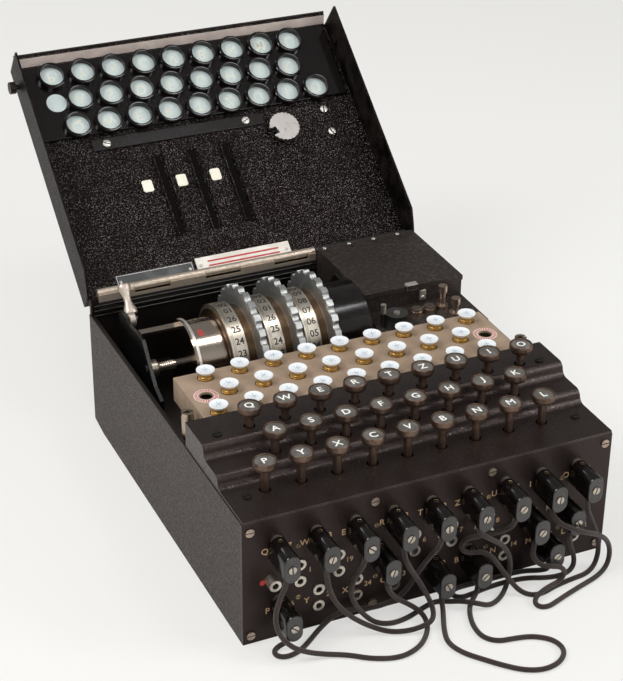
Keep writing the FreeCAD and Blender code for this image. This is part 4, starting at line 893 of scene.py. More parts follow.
class SetOut:
    """Geometry nodes that set one shape out at many places and give it a finish."""

    def __init__(self) -> None:
        """Build the tree once for every use."""
        self.tree = bpy.data.node_groups.new("set_out", "GeometryNodeTree")
        for name, kind in (("Places", "NodeSocketGeometry"), ("Shape", "NodeSocketObject"),
                           ("Finish", "NodeSocketMaterial"), ("Spin", "NodeSocketFloat")):
            self.tree.interface.new_socket(name, in_out="INPUT", socket_type=kind)
        self.tree.interface.new_socket("Pieces", in_out="OUTPUT", socket_type="NodeSocketGeometry")
        graph = Graph(self.tree)
        given = graph.add("NodeGroupInput")
        shape = graph.add("GeometryNodeObjectInfo", {"Object": given.outputs["Shape"]})
        axis = graph.add("GeometryNodeInputNamedAttribute", {"Name": "axis"}, data_type="FLOAT_VECTOR")
        align = graph.add("FunctionNodeAlignRotationToVector", {"Vector": axis.outputs["Attribute"]},
                          axis="Z")
        least = graph.times(given.outputs["Spin"], -1.0)
        chance = graph.add("FunctionNodeRandomValue", {2: least, 3: given.outputs["Spin"], "Seed": 7},
                           data_type="FLOAT")
        spin = graph.add("FunctionNodeAxisAngleToRotation", {"Axis": (0.0, 0.0, 1.0),
                                                             "Angle": chance.outputs[1]})
        turn = graph.add("FunctionNodeRotateRotation", {0: align.outputs[0], 1: spin.outputs[0]},
                         rotation_space="LOCAL")
        copies = graph.add("GeometryNodeInstanceOnPoints",
                           {"Points": given.outputs["Places"], "Instance": shape.outputs["Geometry"],
                            "Rotation": turn.outputs[0]})
        real = graph.add("GeometryNodeRealizeInstances", {"Geometry": copies.outputs[0]})
        dressed = graph.add("GeometryNodeSetMaterial", {"Geometry": real.outputs[0],
                                                        "Material": given.outputs["Finish"]})
        graph.add("NodeGroupOutput", {"Pieces": dressed.outputs[0]})

    def __call__(self, name: str, shape: Sketch, places: Sequence[tuple[Vector, Vector]],
                 finish: Material, body: str, node: str | None = None,
                 spin: float = 0.0) -> bpy.types.Object:
        """Set a shape out and make the result a piece.

        Args:
            name: The piece's name.
            shape: The shape, with its axis along Z.
            places: A point and an axis for each copy.
            finish: The material of them all.
            body: The body that they ride on.
            node: The node that the piece stands for, which it hides.
            spin: Largest random turn of a copy about its axis.

        Returns:
            The piece.
        """
        pattern = bpy.data.objects.new("pattern", shape.mesh("pattern", []))
        points = bpy.data.meshes.new("places")
        points.from_pydata([tuple(point) for point, _ in places], [], [])
        axes = points.attributes.new("axis", "FLOAT_VECTOR", "POINT")
        axes.data.foreach_set("vector", [part for _, axis in places for part in axis])
        holder = bpy.data.objects.new("holder", points)
        for thing in (pattern, holder):
            bpy.context.scene.collection.objects.link(thing)
        modifier = holder.modifiers.new("set_out", "NODES")
        modifier.node_group = self.tree
        sockets = {item.name: item.identifier for item in self.tree.interface.items_tree
                   if item.item_type == "SOCKET" and item.in_out == "INPUT"}
        modifier[sockets["Shape"]] = pattern
        modifier[sockets["Finish"]] = finish
        modifier[sockets["Spin"]] = spin
        graph = bpy.context.evaluated_depsgraph_get()
        mesh = bpy.data.meshes.new_from_object(holder.evaluated_get(graph), preserve_all_data_layers=True,
                                               depsgraph=graph)
        mesh.name = name
        for thing in (pattern, holder):
            bpy.data.objects.remove(thing)
        return settle(name, mesh, body, node)


@dataclass(frozen=True)
class Screw:
    """A slotted cheese head, standing on Z = 0.

    Attributes:
        radius: Of the head.
        height: Of the head.
        slot: Width of the driver slot.
        floor: Height of the slot's floor, as a share of the head's.
        rim: Height at which the softened rim begins, as a share of the head's.
        steps: Facets of half the rim.
    """

    radius: float
    height: float
    slot: float
    floor: float = 0.4
    rim: float = 0.85
    steps: int = 10

    def head(self) -> Sketch:
        """The head, in two halves over the slot's floor.

        Returns:
            The shape.
        """
        sketch = Sketch()
        floor = self.height * self.floor
        sketch.turned(rod(self.radius, floor), steps=24)
        start = math.asin(self.slot / 2 / self.radius)
        for side in (1.0, -1.0):
            half = [(self.radius * math.cos(t), side * self.radius * math.sin(t))
                    for t in (start + (math.pi - 2 * start) * k / self.steps for k in range(self.steps + 1))]
            if side < 0:
                half.reverse()
            sketch.drawn(half, [(0.0, floor), (0.0, self.height * self.rim),
                                (self.radius * 0.12, self.height)])
        return sketch

    def shade_fill(self) -> Sketch:
        """A dark fill in the slot, painted shade for the slot's depth.

        Returns:
            The shape.
        """
        sketch = Sketch()
        sketch.drawn(rounded_box(self.radius * 1.9, self.slot * 0.96, self.slot * 0.1, 1),
                     [(0.0, self.height * 0.38), (0.0, self.height * 0.84)])
        return sketch


SCREW_SPIN = 1.5  # radians either way, by which screws are turned at random


# ---------------------------------------------------------------- palette
ROTOR_AXIS = sizes(66.0, 81.0)  # y and z


class Palette:
    """Every finish of the machine, built once."""

    def __init__(self) -> None:
        """Build the materials."""
        # The crest colours of the wrinkle paints are painted glints on the wrinkles' crests.
        self.side_paint = CasePaint(
            "case_paint", (0.018, 0.0122, 0.0100), 0.46, crest=(0.033, 0.0245, 0.021), grain=0.0010,
            relief=0.00009, share=0.46, sheen=0.36, tint=(1.0, 0.79, 0.71)).build()
        self.panel_paint = CracklePaint(
            "panel_paint", (0.0080, 0.0046, 0.0042), 0.38, crest=(0.018, 0.011, 0.010), grain=0.0007,
            relief=0.00002, share=0.5, sheen=0.40, tint=(1.0, 0.76, 0.70)).build()
        self.cover_paint = CracklePaint(
            "cover_paint", (0.0042, 0.0023, 0.0019), 0.36, crest=(0.024, 0.016, 0.014), grain=0.0012,
            relief=0.00024, share=0.52, sheen=0.75, tint=(1.0, 0.80, 0.75)).build()
        self.box_paint = CracklePaint(
            "box_paint", (0.016, 0.0125, 0.0105), 0.42, crest=(0.044, 0.036, 0.032), grain=0.0024,
            relief=0.00016, share=0.48, sheen=0.5).build()
        # The lid's bright crest on a near-black base is a painted glint.
        self.lid_paint = LidPaint(
            "lid_paint", (0.0006, 0.0003, 0.0003), 0.44, crest=(0.185, 0.168, 0.164), grain=0.0009,
            relief=0.00036, share=0.555, sheen=0.13, tint=(1.0, 0.74, 0.68)).build()
        self.inner_black = CracklePaint(
            "inner_black", (0.0042, 0.0034, 0.0030), 0.4, crest=(0.011, 0.009, 0.008), grain=0.0008,
            relief=0.00003, share=0.5, sheen=0.4).build()
        self.gloss_black = Moulded(
            "gloss_black", (0.0038, 0.0026, 0.0023), 0.13, cloud=(0.008, 0.006, 0.005), coat=0.1).build()
        self.window_black = Moulded(
            "window_black", (0.0030, 0.0018, 0.0017), 0.09, cloud=(0.007, 0.0045, 0.004), coat=0.1).build()
        # The discs' pale colour is partly their own grey-green tint and partly a painted glow of the light
        # that shines through them from behind.
        self.window_disc = Moulded(
            "window_disc", (0.50, 0.585, 0.575), 0.3, cloud=(0.60, 0.66, 0.64), coat=0.4).build()
        self.window_letter = Enamel(
            "window_letter", (0.68, 0.68, 0.58), 0.5, fade=(0.58, 0.60, 0.52)).build()
        # The panes' cream colour is partly their own and partly a painted glow of the light that shines
        # through them from behind.
        self.pane = Moulded(
            "index_pane", (0.80, 0.76, 0.63), 0.35, cloud=(0.86, 0.82, 0.70), coat=0.2).build()
        self.lamp_paint = Enamel(
            "lamp_panel_paint", (0.33, 0.240, 0.168), 0.6, fade=(0.25, 0.180, 0.122), patch=0.012).build()
        self.lamp_glass = Moulded(
            "lamp_glass", (0.80, 0.82, 0.83), 0.2, cloud=(0.70, 0.75, 0.80), coat=0.5,
            cloudiness=0.5).build()
        self.filament = Enamel(
            "filament", (0.30, 0.39, 0.48), 0.4, fade=(0.46, 0.54, 0.61), patch=0.002).build()
        self.brass = Metal(
            "lamp_brass", (0.56, 0.36, 0.12), 0.40, stain=(0.30, 0.18, 0.07), stained=0.3).build()
        self.old_brass = Metal(
            "old_brass", (0.34, 0.25, 0.15), 0.38, stain=(0.14, 0.10, 0.07), stained=0.5).build()
        self.screw_metal = Metal(
            "screw_metal", (0.50, 0.44, 0.37), 0.3, stain=(0.22, 0.18, 0.14), stained=0.4).build()
        self.fittings = Zoned(
            "fittings_metal", (0.45, 0.36, 0.29), 0.34, other=(0.006, 0.005, 0.0045),
            normal=(0.0, 1.0, 0.0), zone=(-0.125, -0.06), metal=(1.0, 0.0), other_roughness=0.35).build()
        self.bright = Metal(
            "bright_metal", (0.84, 0.80, 0.74), 0.42, stain=(0.60, 0.55, 0.48), stained=0.2).build()
        self.cast = Metal(
            "lever_metal", (0.62, 0.54, 0.47), 0.50, stain=(0.42, 0.35, 0.29), stained=0.3).build()
        self.nickel = Metal(
            "nickel", (0.68, 0.62, 0.55), 0.3, stain=(0.40, 0.34, 0.28), stained=0.3).build()
        self.dark_steel = Metal(
            "dark_steel", (0.10, 0.098, 0.098), 0.34, stain=(0.045, 0.04, 0.036), stained=0.5).build()
        self.catch_steel = Metal(
            "catch_steel", (0.06, 0.048, 0.040), 0.4, stain=(0.03, 0.022, 0.018), stained=0.5).build()
        self.switch_metal = Zoned(
            "switch_metal", (0.15, 0.145, 0.135), 0.36, other=(0.66, 0.59, 0.52), normal=(0.0, 0.0, 1.0),
            zone=(0.10405, 0.2), metal=(1.0, 1.0), other_roughness=0.36).build()
        self.hinge_strip = Zoned(
            "hinge_strip", (0.012, 0.010, 0.009), 0.45, other=(0.66, 0.56, 0.46), normal=(0.0, 0.0, 1.0),
            zone=(0.0995, 0.2), metal=(0.0, 0.9), other_roughness=0.45, until=0.0465).build()
        self.hinge_leaf = Zoned(
            "hinge_leaf", (0.66, 0.56, 0.46), 0.45, other=(0.010, 0.008, 0.0075), normal=(1.0, 0.0, 0.0),
            zone=(0.0465, 0.2), metal=(0.9, 0.0), other_roughness=0.4).build()
        self.drum = Metal(
            "drum_nickel", (0.60, 0.51, 0.43), 0.17, stain=(0.44, 0.36, 0.30), stained=0.2,
            grain=Grain.TURNED, centre=ROTOR_AXIS).build()
        self.ring_metal = Metal(
            "ring_metal", (0.66, 0.60, 0.51), 0.34, stain=(0.42, 0.36, 0.28), stained=0.3,
            grain=Grain.TURNED, centre=ROTOR_AXIS).build()
        self.dial_zinc = Metal(
            "dial_zinc", (0.50, 0.47, 0.45), 0.42, stain=(0.22, 0.2, 0.18), stained=0.3).build()
        self.key_metal = Metal(
            "key_bronze", (0.190, 0.128, 0.096), 0.44, stain=(0.085, 0.058, 0.044), stained=0.6).build()
        self.key_disc = Moulded(
            "key_disc", (0.080, 0.072, 0.064), 0.3, cloud=(0.17, 0.155, 0.138), coat=0.25,
            cloudiness=0.8).build()
        self.key_letter = Enamel(
            "key_letter", (0.86, 0.86, 0.83), 0.35, fade=(0.80, 0.79, 0.75), coat=0.3).build()
        self.plug_black = Moulded(
            "plug_black", (0.0030, 0.0022, 0.0020), 0.13, cloud=(0.006, 0.0045, 0.004), coat=0.15).build()
        self.plug_face = Moulded(
            "plug_face", (0.040, 0.038, 0.037), 0.46, cloud=(0.060, 0.057, 0.055), coat=0.1).build()
        self.socket_metal = Metal(
            "socket_nickel", (0.70, 0.64, 0.56), 0.38, stain=(0.35, 0.29, 0.23), stained=0.3).build()
        self.gold_letter = Enamel(
            "gold_letter", (0.66, 0.46, 0.26), 0.45, fade=(0.48, 0.31, 0.16), patch=0.004).build()
        self.red_paint = Enamel(
            "red_paint", (0.50, 0.035, 0.028), 0.4, fade=(0.36, 0.03, 0.025), patch=0.003).build()
        self.black_letter = Enamel(
            "black_letter", (0.012, 0.011, 0.010), 0.5, fade=(0.03, 0.027, 0.025), patch=0.003).build()
        # Near-black fill of the screw slots: painted shade.
        self.slot_dirt = Enamel(
            "slot_dirt", (0.010, 0.008, 0.006), 0.7, fade=(0.018, 0.014, 0.010), patch=0.001).build()
        self.white_plate = Enamel(
            "white_plate", (0.74, 0.70, 0.64), 0.35, fade=(0.62, 0.58, 0.52), patch=0.01).build()
        self.black_plate = Enamel(
            "black_plate", (0.016, 0.018, 0.019), 0.3, fade=(0.03, 0.033, 0.034), patch=0.01).build()
        self.cord = Braid("cord_braid", (0.019, 0.0110, 0.0090), 0.85, thread=(0.066, 0.043, 0.036)).build()
        # Near-black lips in the thumbwheel slots: a dark sheet standing in for the slots' shade.
        self.lip_shade = CracklePaint(
            "slot_felt", (0.0035, 0.0028, 0.0028), 0.9, crest=(0.009, 0.008, 0.008), grain=0.0005,
            relief=0.0001, share=0.5, sheen=0.15).build()
        self.board = Moulded("board", (0.09, 0.045, 0.022), 0.4, cloud=(0.05, 0.025, 0.014)).build()

    def rotor(self, number: int, edge: float) -> Material:
        """A rotor's metal: bronze on its core, zinc on its thumbwheel.

        Args:
            number: Of the rotor, from the left.
            edge: X at which the thumbwheel starts.

        Returns:
            The material.
        """
        return Zoned(f"rotor_metal_{number}", (0.125, 0.078, 0.046), 0.36, (0.56, 0.575, 0.57),
                     (1.0, 0.0, 0.0), (edge, 1.0), (1.0, 1.0), 0.42).build()


def dress(node: str, finish: Material) -> None:
    """Give a node of the frame a finish.

    Args:
        node: The node's name.
        finish: Its material.
    """
    thing = bpy.data.objects[node]
    thing.data.materials.clear()
    thing.data.materials.append(finish)
    LOG.info("node %s wears %s", node, finish.name)


# ---------------------------------------------------------------- case
@dataclass
class Case:
    """Tub, panels, deck, battery box, and what is fixed to them."""

    palette: Palette
    set_out: SetOut
    rivet_radius: float = 1.6 * MM
    rivet_row: tuple[float, ...] = sizes(52.0, 72.0, 92.0, 112.0)
    rivet_y: float = 134.6 * MM
    box_top: float = 109.7 * MM
    bar_span: Pair = sizes(-126.0, 47.0)
    bar_y: float = 137.4 * MM
    bar_heights: tuple[float, ...] = sizes(97.0, 93.2, 89.4)
    bar_radius: float = 0.8 * MM
    panel_front: float = -142.0 * MM
    panel_screws: tuple[float, ...] = sizes(-123.4, -40.5, 41.0, 123.4)
    panel_screw_rows: Pair = sizes(83.2, 6.2)
    shelf_screws: tuple[Pair, ...] = (sizes(81.9, 42.6), sizes(92.2, 42.6))
    shelf_screw_top: float = 98.6 * MM
    tab: Vector = field(default_factory=lambda: mm(84.5, 57.5, 109.65))
    tab_front: Vector = field(default_factory=lambda: mm(84.5, 55.05, 108.7))
    tab_width: float = 9.2 * MM
    clasp: Vector = field(default_factory=lambda: mm(93.5, 57.0, 100.25))
    clasp_button: Vector = field(default_factory=lambda: mm(93.5, 56.0, 98.4))
    driver_slot: float = 0.66 * MM
    panel_slot_length: float = 5.5 * MM
    shelf_slot_length: float = 7.4 * MM

    def build(self) -> None:
        """Dress the case's own nodes and add its trim."""
        paint = self.palette
        for node, finish in (("case_tub", paint.side_paint), ("plugboard_panel", paint.panel_paint),
                             ("keyboard_cover", paint.cover_paint), ("chassis", paint.inner_black),
                             ("stepping_bar", paint.inner_black), ("entry_wheel", paint.gloss_black),
                             ("battery_box", paint.box_paint), ("battery_lid", paint.box_paint),
                             ("lamp_board", paint.board), ("key_springs", paint.nickel),
                             ("case_fittings", paint.fittings), ("case_hinge", paint.hinge_strip),
                             ("power_switch", paint.switch_metal), ("rotor_frame", paint.dark_steel)):
            dress(node, finish)
        self.box_trim()
        self.cross_bars()
        self.screw_slots()

    def box_trim(self) -> None:
        """Rivets, lifting tab and clasp of the battery box."""
        r = self.rivet_radius
        dome = Sketch()
        dome.turned([(r, 0.0), (r * 0.9, 0.35 * MM), (r * 0.5, 0.6 * MM), (0.0, 0.68 * MM)], steps=16)
        places = [(Vector((x, self.rivet_y, self.box_top)), UP) for x in self.rivet_row]
        self.set_out("battery_lid_rivets", dome, places, self.palette.bright, "battery_lid")
        tab = Sketch()
        tab.drawn(rounded_box(self.tab_width, 4.9 * MM, 0.8 * MM), pairs((0.0, 0.0), (0.0, 0.7), (0.25, 1.0)),
                  Matrix.Translation(self.tab))
        tab.drawn(rounded_box(self.tab_width, 3.9 * MM, 0.5 * MM), pairs((0.0, 0.0), (0.0, 0.6), (0.2, 0.8)),
                  front_frame(*self.tab_front))
        tab.piece("battery_lid_tab", [self.palette.bright], "battery_lid")
        clasp = Sketch()
        clasp.drawn(rounded_box(5.2 * MM, 7.6 * MM, 0.6 * MM), pairs((0.0, 0.0), (0.0, 0.8), (0.2, 1.05)),
                    front_frame(*self.clasp))
        clasp.turned(pairs((1.5, 0.0), (1.4, 0.4), (0.8, 0.8), (0.0, 0.9)), front_frame(*self.clasp_button),
                     steps=20)
        clasp.piece("battery_box_clasp", [self.palette.bright], "case")

    def cross_bars(self) -> None:
        """Three thin bars behind the rotors, from the left wall to the battery box."""
        bars = Sketch()
        start, end = self.bar_span
        for height in self.bar_heights:
            bars.turned(rod(self.bar_radius, end - start), facing(Vector((start, self.bar_y, height)),
                                                                  ACROSS),
                        steps=14)
        bars.piece("cross_bars", [self.palette.gloss_black], "case")

    def screw_slots(self) -> None:
        """Painted shade in the driver slots of the panel's and the shelf's screws."""
        marks = Sketch()
        for x in self.panel_screws:
            for z in self.panel_screw_rows:
                marks.drawn(rounded_box(self.panel_slot_length, self.driver_slot, 0.1 * MM, 1),
                            pairs((0.0, 0.0), (0.0, 0.42)), front_frame(x, self.panel_front - 0.5 * MM, z))
        for x, y in self.shelf_screws:
            marks.drawn(rounded_box(self.shelf_slot_length, self.driver_slot, 0.1 * MM, 1),
                        pairs((0.0, 0.0), (0.0, 0.7)),
                        Matrix.Translation(Vector((x, y, self.shelf_screw_top - 0.8 * MM))))
        marks.piece("screw_slots", [self.palette.slot_dirt], "case")


# ---------------------------------------------------------------- plug panel
@dataclass
class PlugPanel:
    """Labels, small screws and sockets of the front panel, and the patch cords with their plugs."""

    palette: Palette
    set_out: SetOut
    front: float = -142.0 * MM
    pitch: float = 26.2 * MM
    rows: tuple[tuple[str, float, float], ...] = (
        ("QWERTZUIO", -1.0 * MM, 66.5 * MM), ("ASDFGHJK", 1.2 * MM, 44.3 * MM),
        ("PYXCVBNML", 0.7 * MM, 22.1 * MM))
    letter_height: float = 4.4 * MM
    number_height: float = 3.8 * MM
    jack_spot: Pair = sizes(-115.2, 43.7)
    screw_columns: tuple[float, ...] = sizes(-91.6, -38.8, 39.8, 93.2)
    screw_rows: tuple[float, ...] = sizes(64.7, 26.2)
    plug_width: float = 11.2 * MM
    plug_height: float = 19.5 * MM
    plug_length: float = 22.4 * MM
    plug_back: float = -143.4 * MM
    plug_screw: Screw = Screw(2.6 * MM, 0.75 * MM, 0.9 * MM)
    panel_screw: Screw = Screw(1.7 * MM, 0.45 * MM, 0.5 * MM)
    pin_radius: float = 1.95 * MM
    pin_length: float = 14.0 * MM
    pin_spacing: float = 12.3 * MM
    letter_spot: Pair = sizes(-7.8, -0.4)
    number_spot: Pair = sizes(6.0, 0.4)
    number_shift: float = 0.9 * MM
    exit_y: float = -157.0 * MM
    gland: float = 0.5 * MM
    cord_diameter: float = 3.4 * MM
    strands: int = 8
    lay: float = 7.0 * MM

    def place(self, letter: str) -> Pair:
        """The middle of a socket pair.

        Args:
            letter: The pair's letter.

        Returns:
            Its x and z.
        """
        for letters, offset, height in self.rows:
            if letter in letters:
                return offset + self.pitch * (letters.index(letter) - (len(letters) - 1) / 2), height
        raise KeyError(letter)

    def cord_end(self, letter: str) -> Vector:
        """Where the cord leaves the plug of a letter."""
        x, z = self.place(letter)
        return Vector((x, self.exit_y, z - self.plug_height / 2 - self.gland))

    def build(self) -> None:
        """Make the panel's lettering, screws and sockets, then the cords."""
        self.labels()
        self.small_screws()
        dress("socket_board", self.palette.socket_metal)
        for pair, route in CORD_ROUTES.items():
            self.cord(pair, route)

    def labels(self) -> None:
        """A letter to the left and its number to the right of every socket pair."""
        sketch = Sketch()
        face = self.front - 0.02 * MM
        for letters, _, _ in self.rows:
            for letter in letters:
                x, z = self.place(letter)
                number = str(ord(letter) - ord("A") + 1)
                aside, rise = self.letter_spot
                sketch.lettered(letter, self.letter_height, front_frame(x + aside, face, z + rise),
                                weight=0.008)
                aside, rise = self.number_spot
                sketch.lettered(number, self.number_height, front_frame(
                    x + aside + self.number_shift * len(number), face, z + rise), weight=0.006)
        sketch.piece("panel_lettering", [self.palette.gold_letter], "case")

    def small_screws(self) -> None:
        """Countersunk screws between the socket pairs, and the red spot beside the jack."""
        places = [(Vector((x, self.front, z)), Vector((0.0, -1.0, 0.0)))
                  for x in self.screw_columns for z in self.screw_rows]
        # Each slot gets a dark fill of painted shade.
        for name, shape, finish in (("screws", self.panel_screw.head(), self.palette.old_brass),
                                    ("slots", self.panel_screw.shade_fill(), self.palette.slot_dirt)):
            self.set_out(f"panel_small_{name}", shape, places, finish, "case", spin=SCREW_SPIN)
        spot = Sketch()
        spot.turned(pairs((1.9, 0.0), (1.8, 0.12), (0.0, 0.16)),
                    front_frame(self.jack_spot[0], self.front, self.jack_spot[1]), steps=24)
        spot.piece("jack_spot", [self.palette.red_paint], "case")

    def plug(self, sketch: Sketch, letter: str, spin: float) -> None:
        """One plug: body, face plate, screw, pins and gland.

        Args:
            sketch: What it is added to.
            letter: The socket pair that it stands in.
            spin: How far its screw is turned, in radians.
        """
        x, z = self.place(letter)
        place = front_frame(x, self.plug_back, z)
        body = stadium(self.plug_width, self.plug_height, 12)
        length = self.plug_length
        soft = 0.8 * MM
        sketch.drawn(body, [(0.5 * MM, 0.0), (0.0, 0.5 * MM), (0.0, length - soft),
                            (soft * 0.3, length - soft * 0.3), (soft, length - 0.02 * MM)], place)
        face = inset_outline(body, soft * 0.95)
        sketch.drawn(face, [(0.0, length - 0.3 * MM), (0.0, length)], place, 1)
        turned = place @ Matrix.Translation((0.0, 0.0, length)) @ Matrix.Rotation(spin, 4, "Z")
        # The screw's slot gets a black fill, painted shade.
        for shape, finish in ((self.plug_screw.head(), 2), (self.plug_screw.shade_fill(), 0)):
            sketch.take(shape.points, shape.faces, finish, turned)
        r = self.plug_screw.radius
        sketch.turned([(r + 0.35 * MM, length - 0.1 * MM), (r + 0.35 * MM, length + 0.06 * MM),
                       (r, length + 0.08 * MM)], place, 0, 24)
        r, tip = self.pin_radius, -self.pin_length
        for side in (1.0, -1.0):
            sketch.turned([(0.0, tip), (r - 0.35 * MM, tip), (r, tip + 1.0 * MM), (r, 0.5 * MM)],
                          place @ Matrix.Translation((0.0, side * self.pin_spacing / 2, 0.0)), 2, 20)
        top = Matrix.Translation(Vector((x, self.plug_back - 4.2 * MM, z + self.plug_height / 2 - 0.25 * MM)))
        sketch.turned(pairs((1.5, 0.0), (1.5, 0.3), (1.1, 0.33), (0.9, 0.1), (0.0, 0.1)), top, 3, 16)
        sketch.turned(pairs((2.0, 0.0), (2.1, 0.3), (2.1, 3.0)), Matrix.Translation(self.cord_end(letter)), 0,
                      20)

    def cord(self, pair: str, route: Sequence[Triple]) -> None:
        """A patch cord and its two plugs.

        Args:
            pair: The letters that it joins.
            route: Its inner route points, in millimetres.
        """
        palette = self.palette
        name = pair.lower()
        plugs = Sketch()
        for number, letter in enumerate(pair):
            self.plug(plugs, letter, 0.5 + 2.1 * ((ord(letter) * 7 + number) % 11) / 11.0)
        plug_piece = plugs.piece(f"plugs_{name}", [palette.plug_black, palette.plug_face, palette.screw_metal,
                                                   palette.old_brass], "case", "patch_plugs")
        points = [self.cord_end(pair[0]), *(mm(*point) for point in route), self.cord_end(pair[1])]
        line = spline_points(points)
        mesh, path = braided_tube(f"cord_{name}", line, self.cord_diameter / 2, self.strands, self.lay,
                                  palette.cord)
        piece = settle(f"cord_{name}", mesh, "case", "patch_cords")
        length = sum((b - a).length for a, b in zip(path, path[1:]))
        tuple(path[0])
        [tuple(point) for point in path]


def spline_points(points: Sequence[Vector]) -> list[Vector]:
    """A smooth open spline.

    Args:
        points: Its control points; it starts and ends at the first and the last.

    Returns:
        Points along it.
    """
    curve = bpy.data.curves.new("route", "CURVE")
    curve.dimensions = "3D"
    curve.resolution_u = 24
    spline = curve.splines.new("NURBS")
    spline.points.add(len(points) - 1)
    for control, point in zip(spline.points, points):
        control.co = (*point, 1.0)
    spline.order_u = 3
    spline.use_endpoint_u = True
    holder = bpy.data.objects.new("route", curve)
    bpy.context.scene.collection.objects.link(holder)
    mesh = bpy.data.meshes.new_from_object(holder.evaluated_get(bpy.context.evaluated_depsgraph_get()))
    line = [vertex.co.copy() for vertex in mesh.vertices]
    bpy.data.objects.remove(holder)
    bpy.data.curves.remove(curve)
    bpy.data.meshes.remove(mesh)
    return line


def even_points(line: Sequence[Vector], spacing: float) -> list[Vector]:
    """The same line, with even steps.

    Args:
        line: The line's points.
        spacing: About how long a step is.

    Returns:
        The new points.
    """
    total = sum((b - a).length for a, b in zip(line, line[1:]))
    count = max(2, round(total / spacing))
    result = [line[0].copy()]
    travelled = 0.0
    target = 1
    for start, end in zip(line, line[1:]):
        run = (end - start).length
        while run > 0.0 and target < count and travelled + run >= total * target / count:
            result.append(start.lerp(end, (total * target / count - travelled) / run))
            target += 1
        travelled += run
    result.append(line[-1].copy())
    return result


TUBE_STEP = 0.6 * MM
TUBE_FACETS = 20
STRAND_RELIEF = 0.05  # height of the strands, as a share of the cord's radius


def braided_tube(name: str, line: Sequence[Vector], radius: float, strands: int, lay: float,
                 finish: Material) -> tuple[bpy.types.Mesh, list[Vector]]:
    """A tube along a line, its surface raised in crossing strands and mapped by them.

    Args:
        name: The mesh's name.
        line: The route's points.
        radius: Of the cord.
        strands: Strands that turn each way.
        lay: Length in which a strand turns once round.
        finish: The braid's material.

    Returns:
        The mesh, and the evenly spaced line that it follows.
    """
    path = even_points(line, TUBE_STEP)
    around = TUBE_FACETS
    relief = STRAND_RELIEF * radius
    points: list[Triple] = []
    uvs: list[Pair] = []
    side = ACROSS
    travelled = 0.0
    for k, middle in enumerate(path):
        ahead = path[min(k + 1, len(path) - 1)] - path[max(k - 1, 0)]
        ahead.normalize()
        side = (side - ahead * side.dot(ahead)).normalized()
        other = ahead.cross(side)
        if k:
            travelled += (middle - path[k - 1]).length
        for j in range(around + 1):
            turn = math.tau * j / around
            count = strands * j / around
            phase = strands * travelled / lay
            raised = max(math.sin(math.tau * (phase + count)), math.sin(math.tau * (phase - count)))
            reach = radius - relief + relief * raised
            if j < around:
                points.append(tuple(middle + (side * math.cos(turn) + other * math.sin(turn)) * reach))
            uvs.append((phase, count))
    faces = []
    corners = []
    for k in range(len(path) - 1):
        for j in range(around):
            after = (j + 1) % around
            low, high = k * around, (k + 1) * around
            faces.append((low + j, low + after, high + after, high + j))
            base, above = k * (around + 1), (k + 1) * (around + 1)
            corners += [uvs[base + j], uvs[base + j + 1], uvs[above + j + 1], uvs[above + j]]
    faces.append(tuple(reversed(range(around))))
    corners += [uvs[j] for j in reversed(range(around))]
    last = (len(path) - 1) * around
    faces.append(tuple(range(last, last + around)))
    corners += [uvs[(len(path) - 1) * (around + 1) + j] for j in range(around)]
    mesh = bpy.data.meshes.new(name)
    mesh.from_pydata(points, [], faces)
    layer = mesh.uv_layers.new(name="braid")
    layer.data.foreach_set("uv", [part for corner in corners for part in corner])
    mesh.materials.append(finish)
    mesh.shade_smooth()
    return mesh, path


